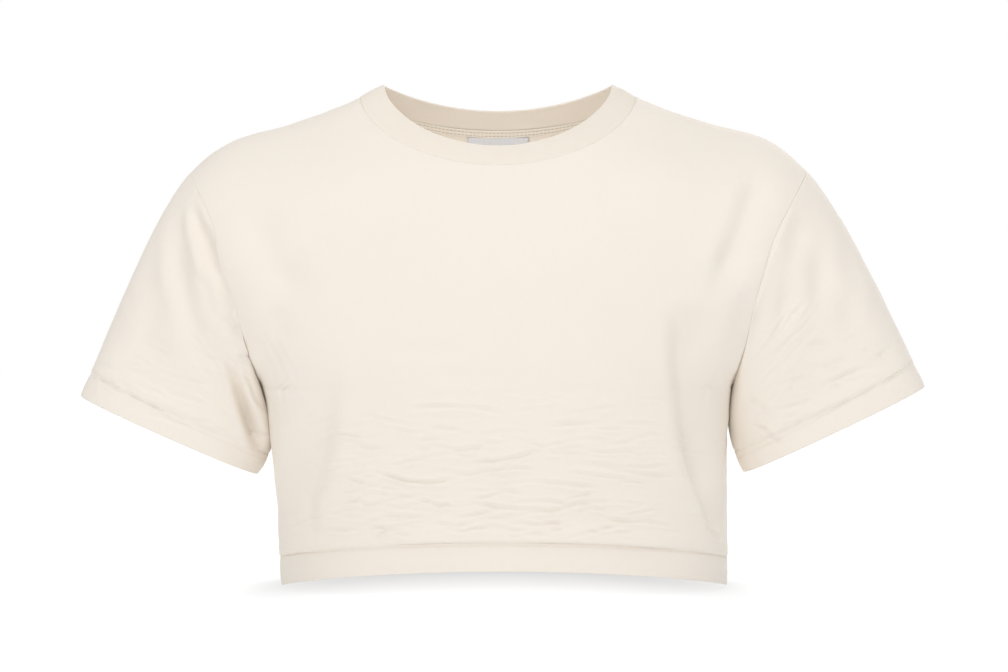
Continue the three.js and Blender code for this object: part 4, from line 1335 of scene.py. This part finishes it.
def make_sky():
    """White all round: bright where the camera sees it, softer as a light."""
    world = bpy.data.worlds.new("studio")
    bpy.context.scene.world = world
    world.use_nodes = True
    tree = world.node_tree
    seen = node(tree, "ShaderNodeBackground", {"Color": (1, 1, 1, 1), "Strength": 1.0})
    lit = node(tree, "ShaderNodeBackground", {"Color": (1, 1, 1, 1), "Strength": SKY})
    direct = node(tree, "ShaderNodeLightPath").outputs["Is Camera Ray"]
    both = node(tree, "ShaderNodeMixShader", {0: direct, 1: lit.outputs[0], 2: seen.outputs[0]})
    tree.links.new(both.outputs[0], tree.nodes["World Output"].inputs["Surface"])


LIGHT_TARGET = Vector((0, 0, -0.19))
SOFT_LIGHTS = [  # name, place, size across and power
    ("key", (-1.0, -2.9, 1.4), 1.3, 24),
    ("fill", (2.0, -2.3, 1.1), 1.6, 6.5),
    ("over", (0.1, -0.9, 2.2), 1.0, 17),
    ("behind", (0.9, 2.5, 1.3), 1.5, 34),
]
INSIDE_PLACE = (0, -0.02, -0.14)  # a weak lamp that keeps the hollow garment from looking dark inside
INSIDE_SIZE = 0.05
INSIDE_POWER = 0.19


def soft_light(name, place, size, power):
    data = bpy.data.lights.new(name, "AREA")
    data.shape = "DISK"
    data.size = size
    data.energy = power
    lamp = bpy.data.objects.new(name, data)
    lamp.location = place
    lamp.rotation_euler = (LIGHT_TARGET - Vector(place)).to_track_quat("-Z", "Y").to_euler()
    bpy.context.scene.collection.objects.link(lamp)


def inside_light():
    data = bpy.data.lights.new("inside", "POINT")
    data.shadow_soft_size = INSIDE_SIZE
    data.energy = INSIDE_POWER
    lamp = bpy.data.objects.new("inside", data)
    lamp.location = INSIDE_PLACE
    lamp.visible_camera = False
    bpy.context.scene.collection.objects.link(lamp)


# ---------- the garment ----------

FINISHES = {  # light and dark tone, wales and courses per metre, zigzag of the loops, relief in metres
    "cream_jersey": ((0.885, 0.822, 0.745), (0.832, 0.765, 0.68), 1350.0, 1750.0, 0.9, 0.00008),
    "cream_rib": ((0.88, 0.81, 0.73), (0.82, 0.745, 0.65), 620.0, 1500.0, 0.25, 0.00022),
    "cotton_tape": ((0.875, 0.825, 0.75), (0.81, 0.75, 0.66), 1500.0, 1500.0, 2.2, 0.0001),
    "label_satin": ((0.72, 0.74, 0.78), (0.64, 0.66, 0.71), 250.0, 4200.0, 0.0, 0.00006),
    # the tape's stitches get a thread darker than the cream one: painted shade along the tape's stitched
    # lines
    "tape_thread_painted_shade": ((0.60, 0.54, 0.45), (0.52, 0.46, 0.38), 2600.0, 2600.0, 1.2, 0.00006),
    "sewing_thread": ((0.88, 0.81, 0.72), (0.80, 0.72, 0.62), 2600.0, 2600.0, 1.2, 0.00006),
}
SATIN_SHEEN = 0.1


def finish(name, **more):
    return cotton(name, *FINISHES[name], **more)


def main():
    bpy.context.scene.view_settings.view_transform = "Standard"
    make_camera()

    jersey = finish("cream_jersey")
    rib = finish("cream_rib")
    tape = finish("cotton_tape")
    satin = finish("label_satin", sheen=SATIN_SHEEN)
    tape_thread_painted_shade = finish("tape_thread_painted_shade", mapped=False)
    thread = finish("sewing_thread", mapped=False)

    forms = {side: panel_form(side) for side in ("front", "back")}
    panels = {side: build_panel(side + "_panel", forms[side], jersey) for side in forms}
    sleeve_forms = {name: sleeve_form(name, forms["front"], forms["back"]) for name in CUFFS}
    sleeves = {name: build_sleeve(name + "_cloth", sleeve_forms[name], jersey) for name in CUFFS}
    band = band_form(forms["front"], forms["back"])
    neckband = build_band(band, rib)
    neck_tape, tape_rows = build_tape(forms["back"], tape)
    label = build_label(satin)

    stand_ins = [
        (panels["front"], "front", "jersey"),
        (panels["back"], "back", "jersey"),
        (sleeves["sleeve_left"], "sleeve_left", "jersey"),
        (sleeves["sleeve_right"], "sleeve_right", "jersey"),
        (neckband, "neckband", "rib"),
        (neck_tape, "neck_tape", "tape"),
        (label, "label", "label_satin"),
    ]
    for piece, cad_node, slot in stand_ins:
        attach(piece, "root")
        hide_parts(cad_node)

    stitches = {}
    for side, form in forms.items():
        stitches[side] = sew(side + "_hem_stitches", form["face"][HEM_ROW], form["outward"][HEM_ROW], thread)
    for name, form in sleeve_forms.items():
        row = int(np.argmin(np.abs(form["from_cuff"].mean(1) - CUFF_DEPTH)))
        stitches[name] = sew(name + "_cuff_stitches", form["face"][row], form["outward"][row], thread, True)
    # the tape's two rows of stitches use the darker thread, which paints the shade along them
    for place, (path, outward) in zip(("lower", "upper"), tape_rows):
        piece = sew("neck_tape_" + place + "_stitches", path, outward, tape_thread_painted_shade)
        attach(piece, "root")
    for piece in stitches.values():
        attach(piece, "root")

    make_floor()
    make_sky()
    for light in SOFT_LIGHTS:
        soft_light(*light)
    inside_light()


main()
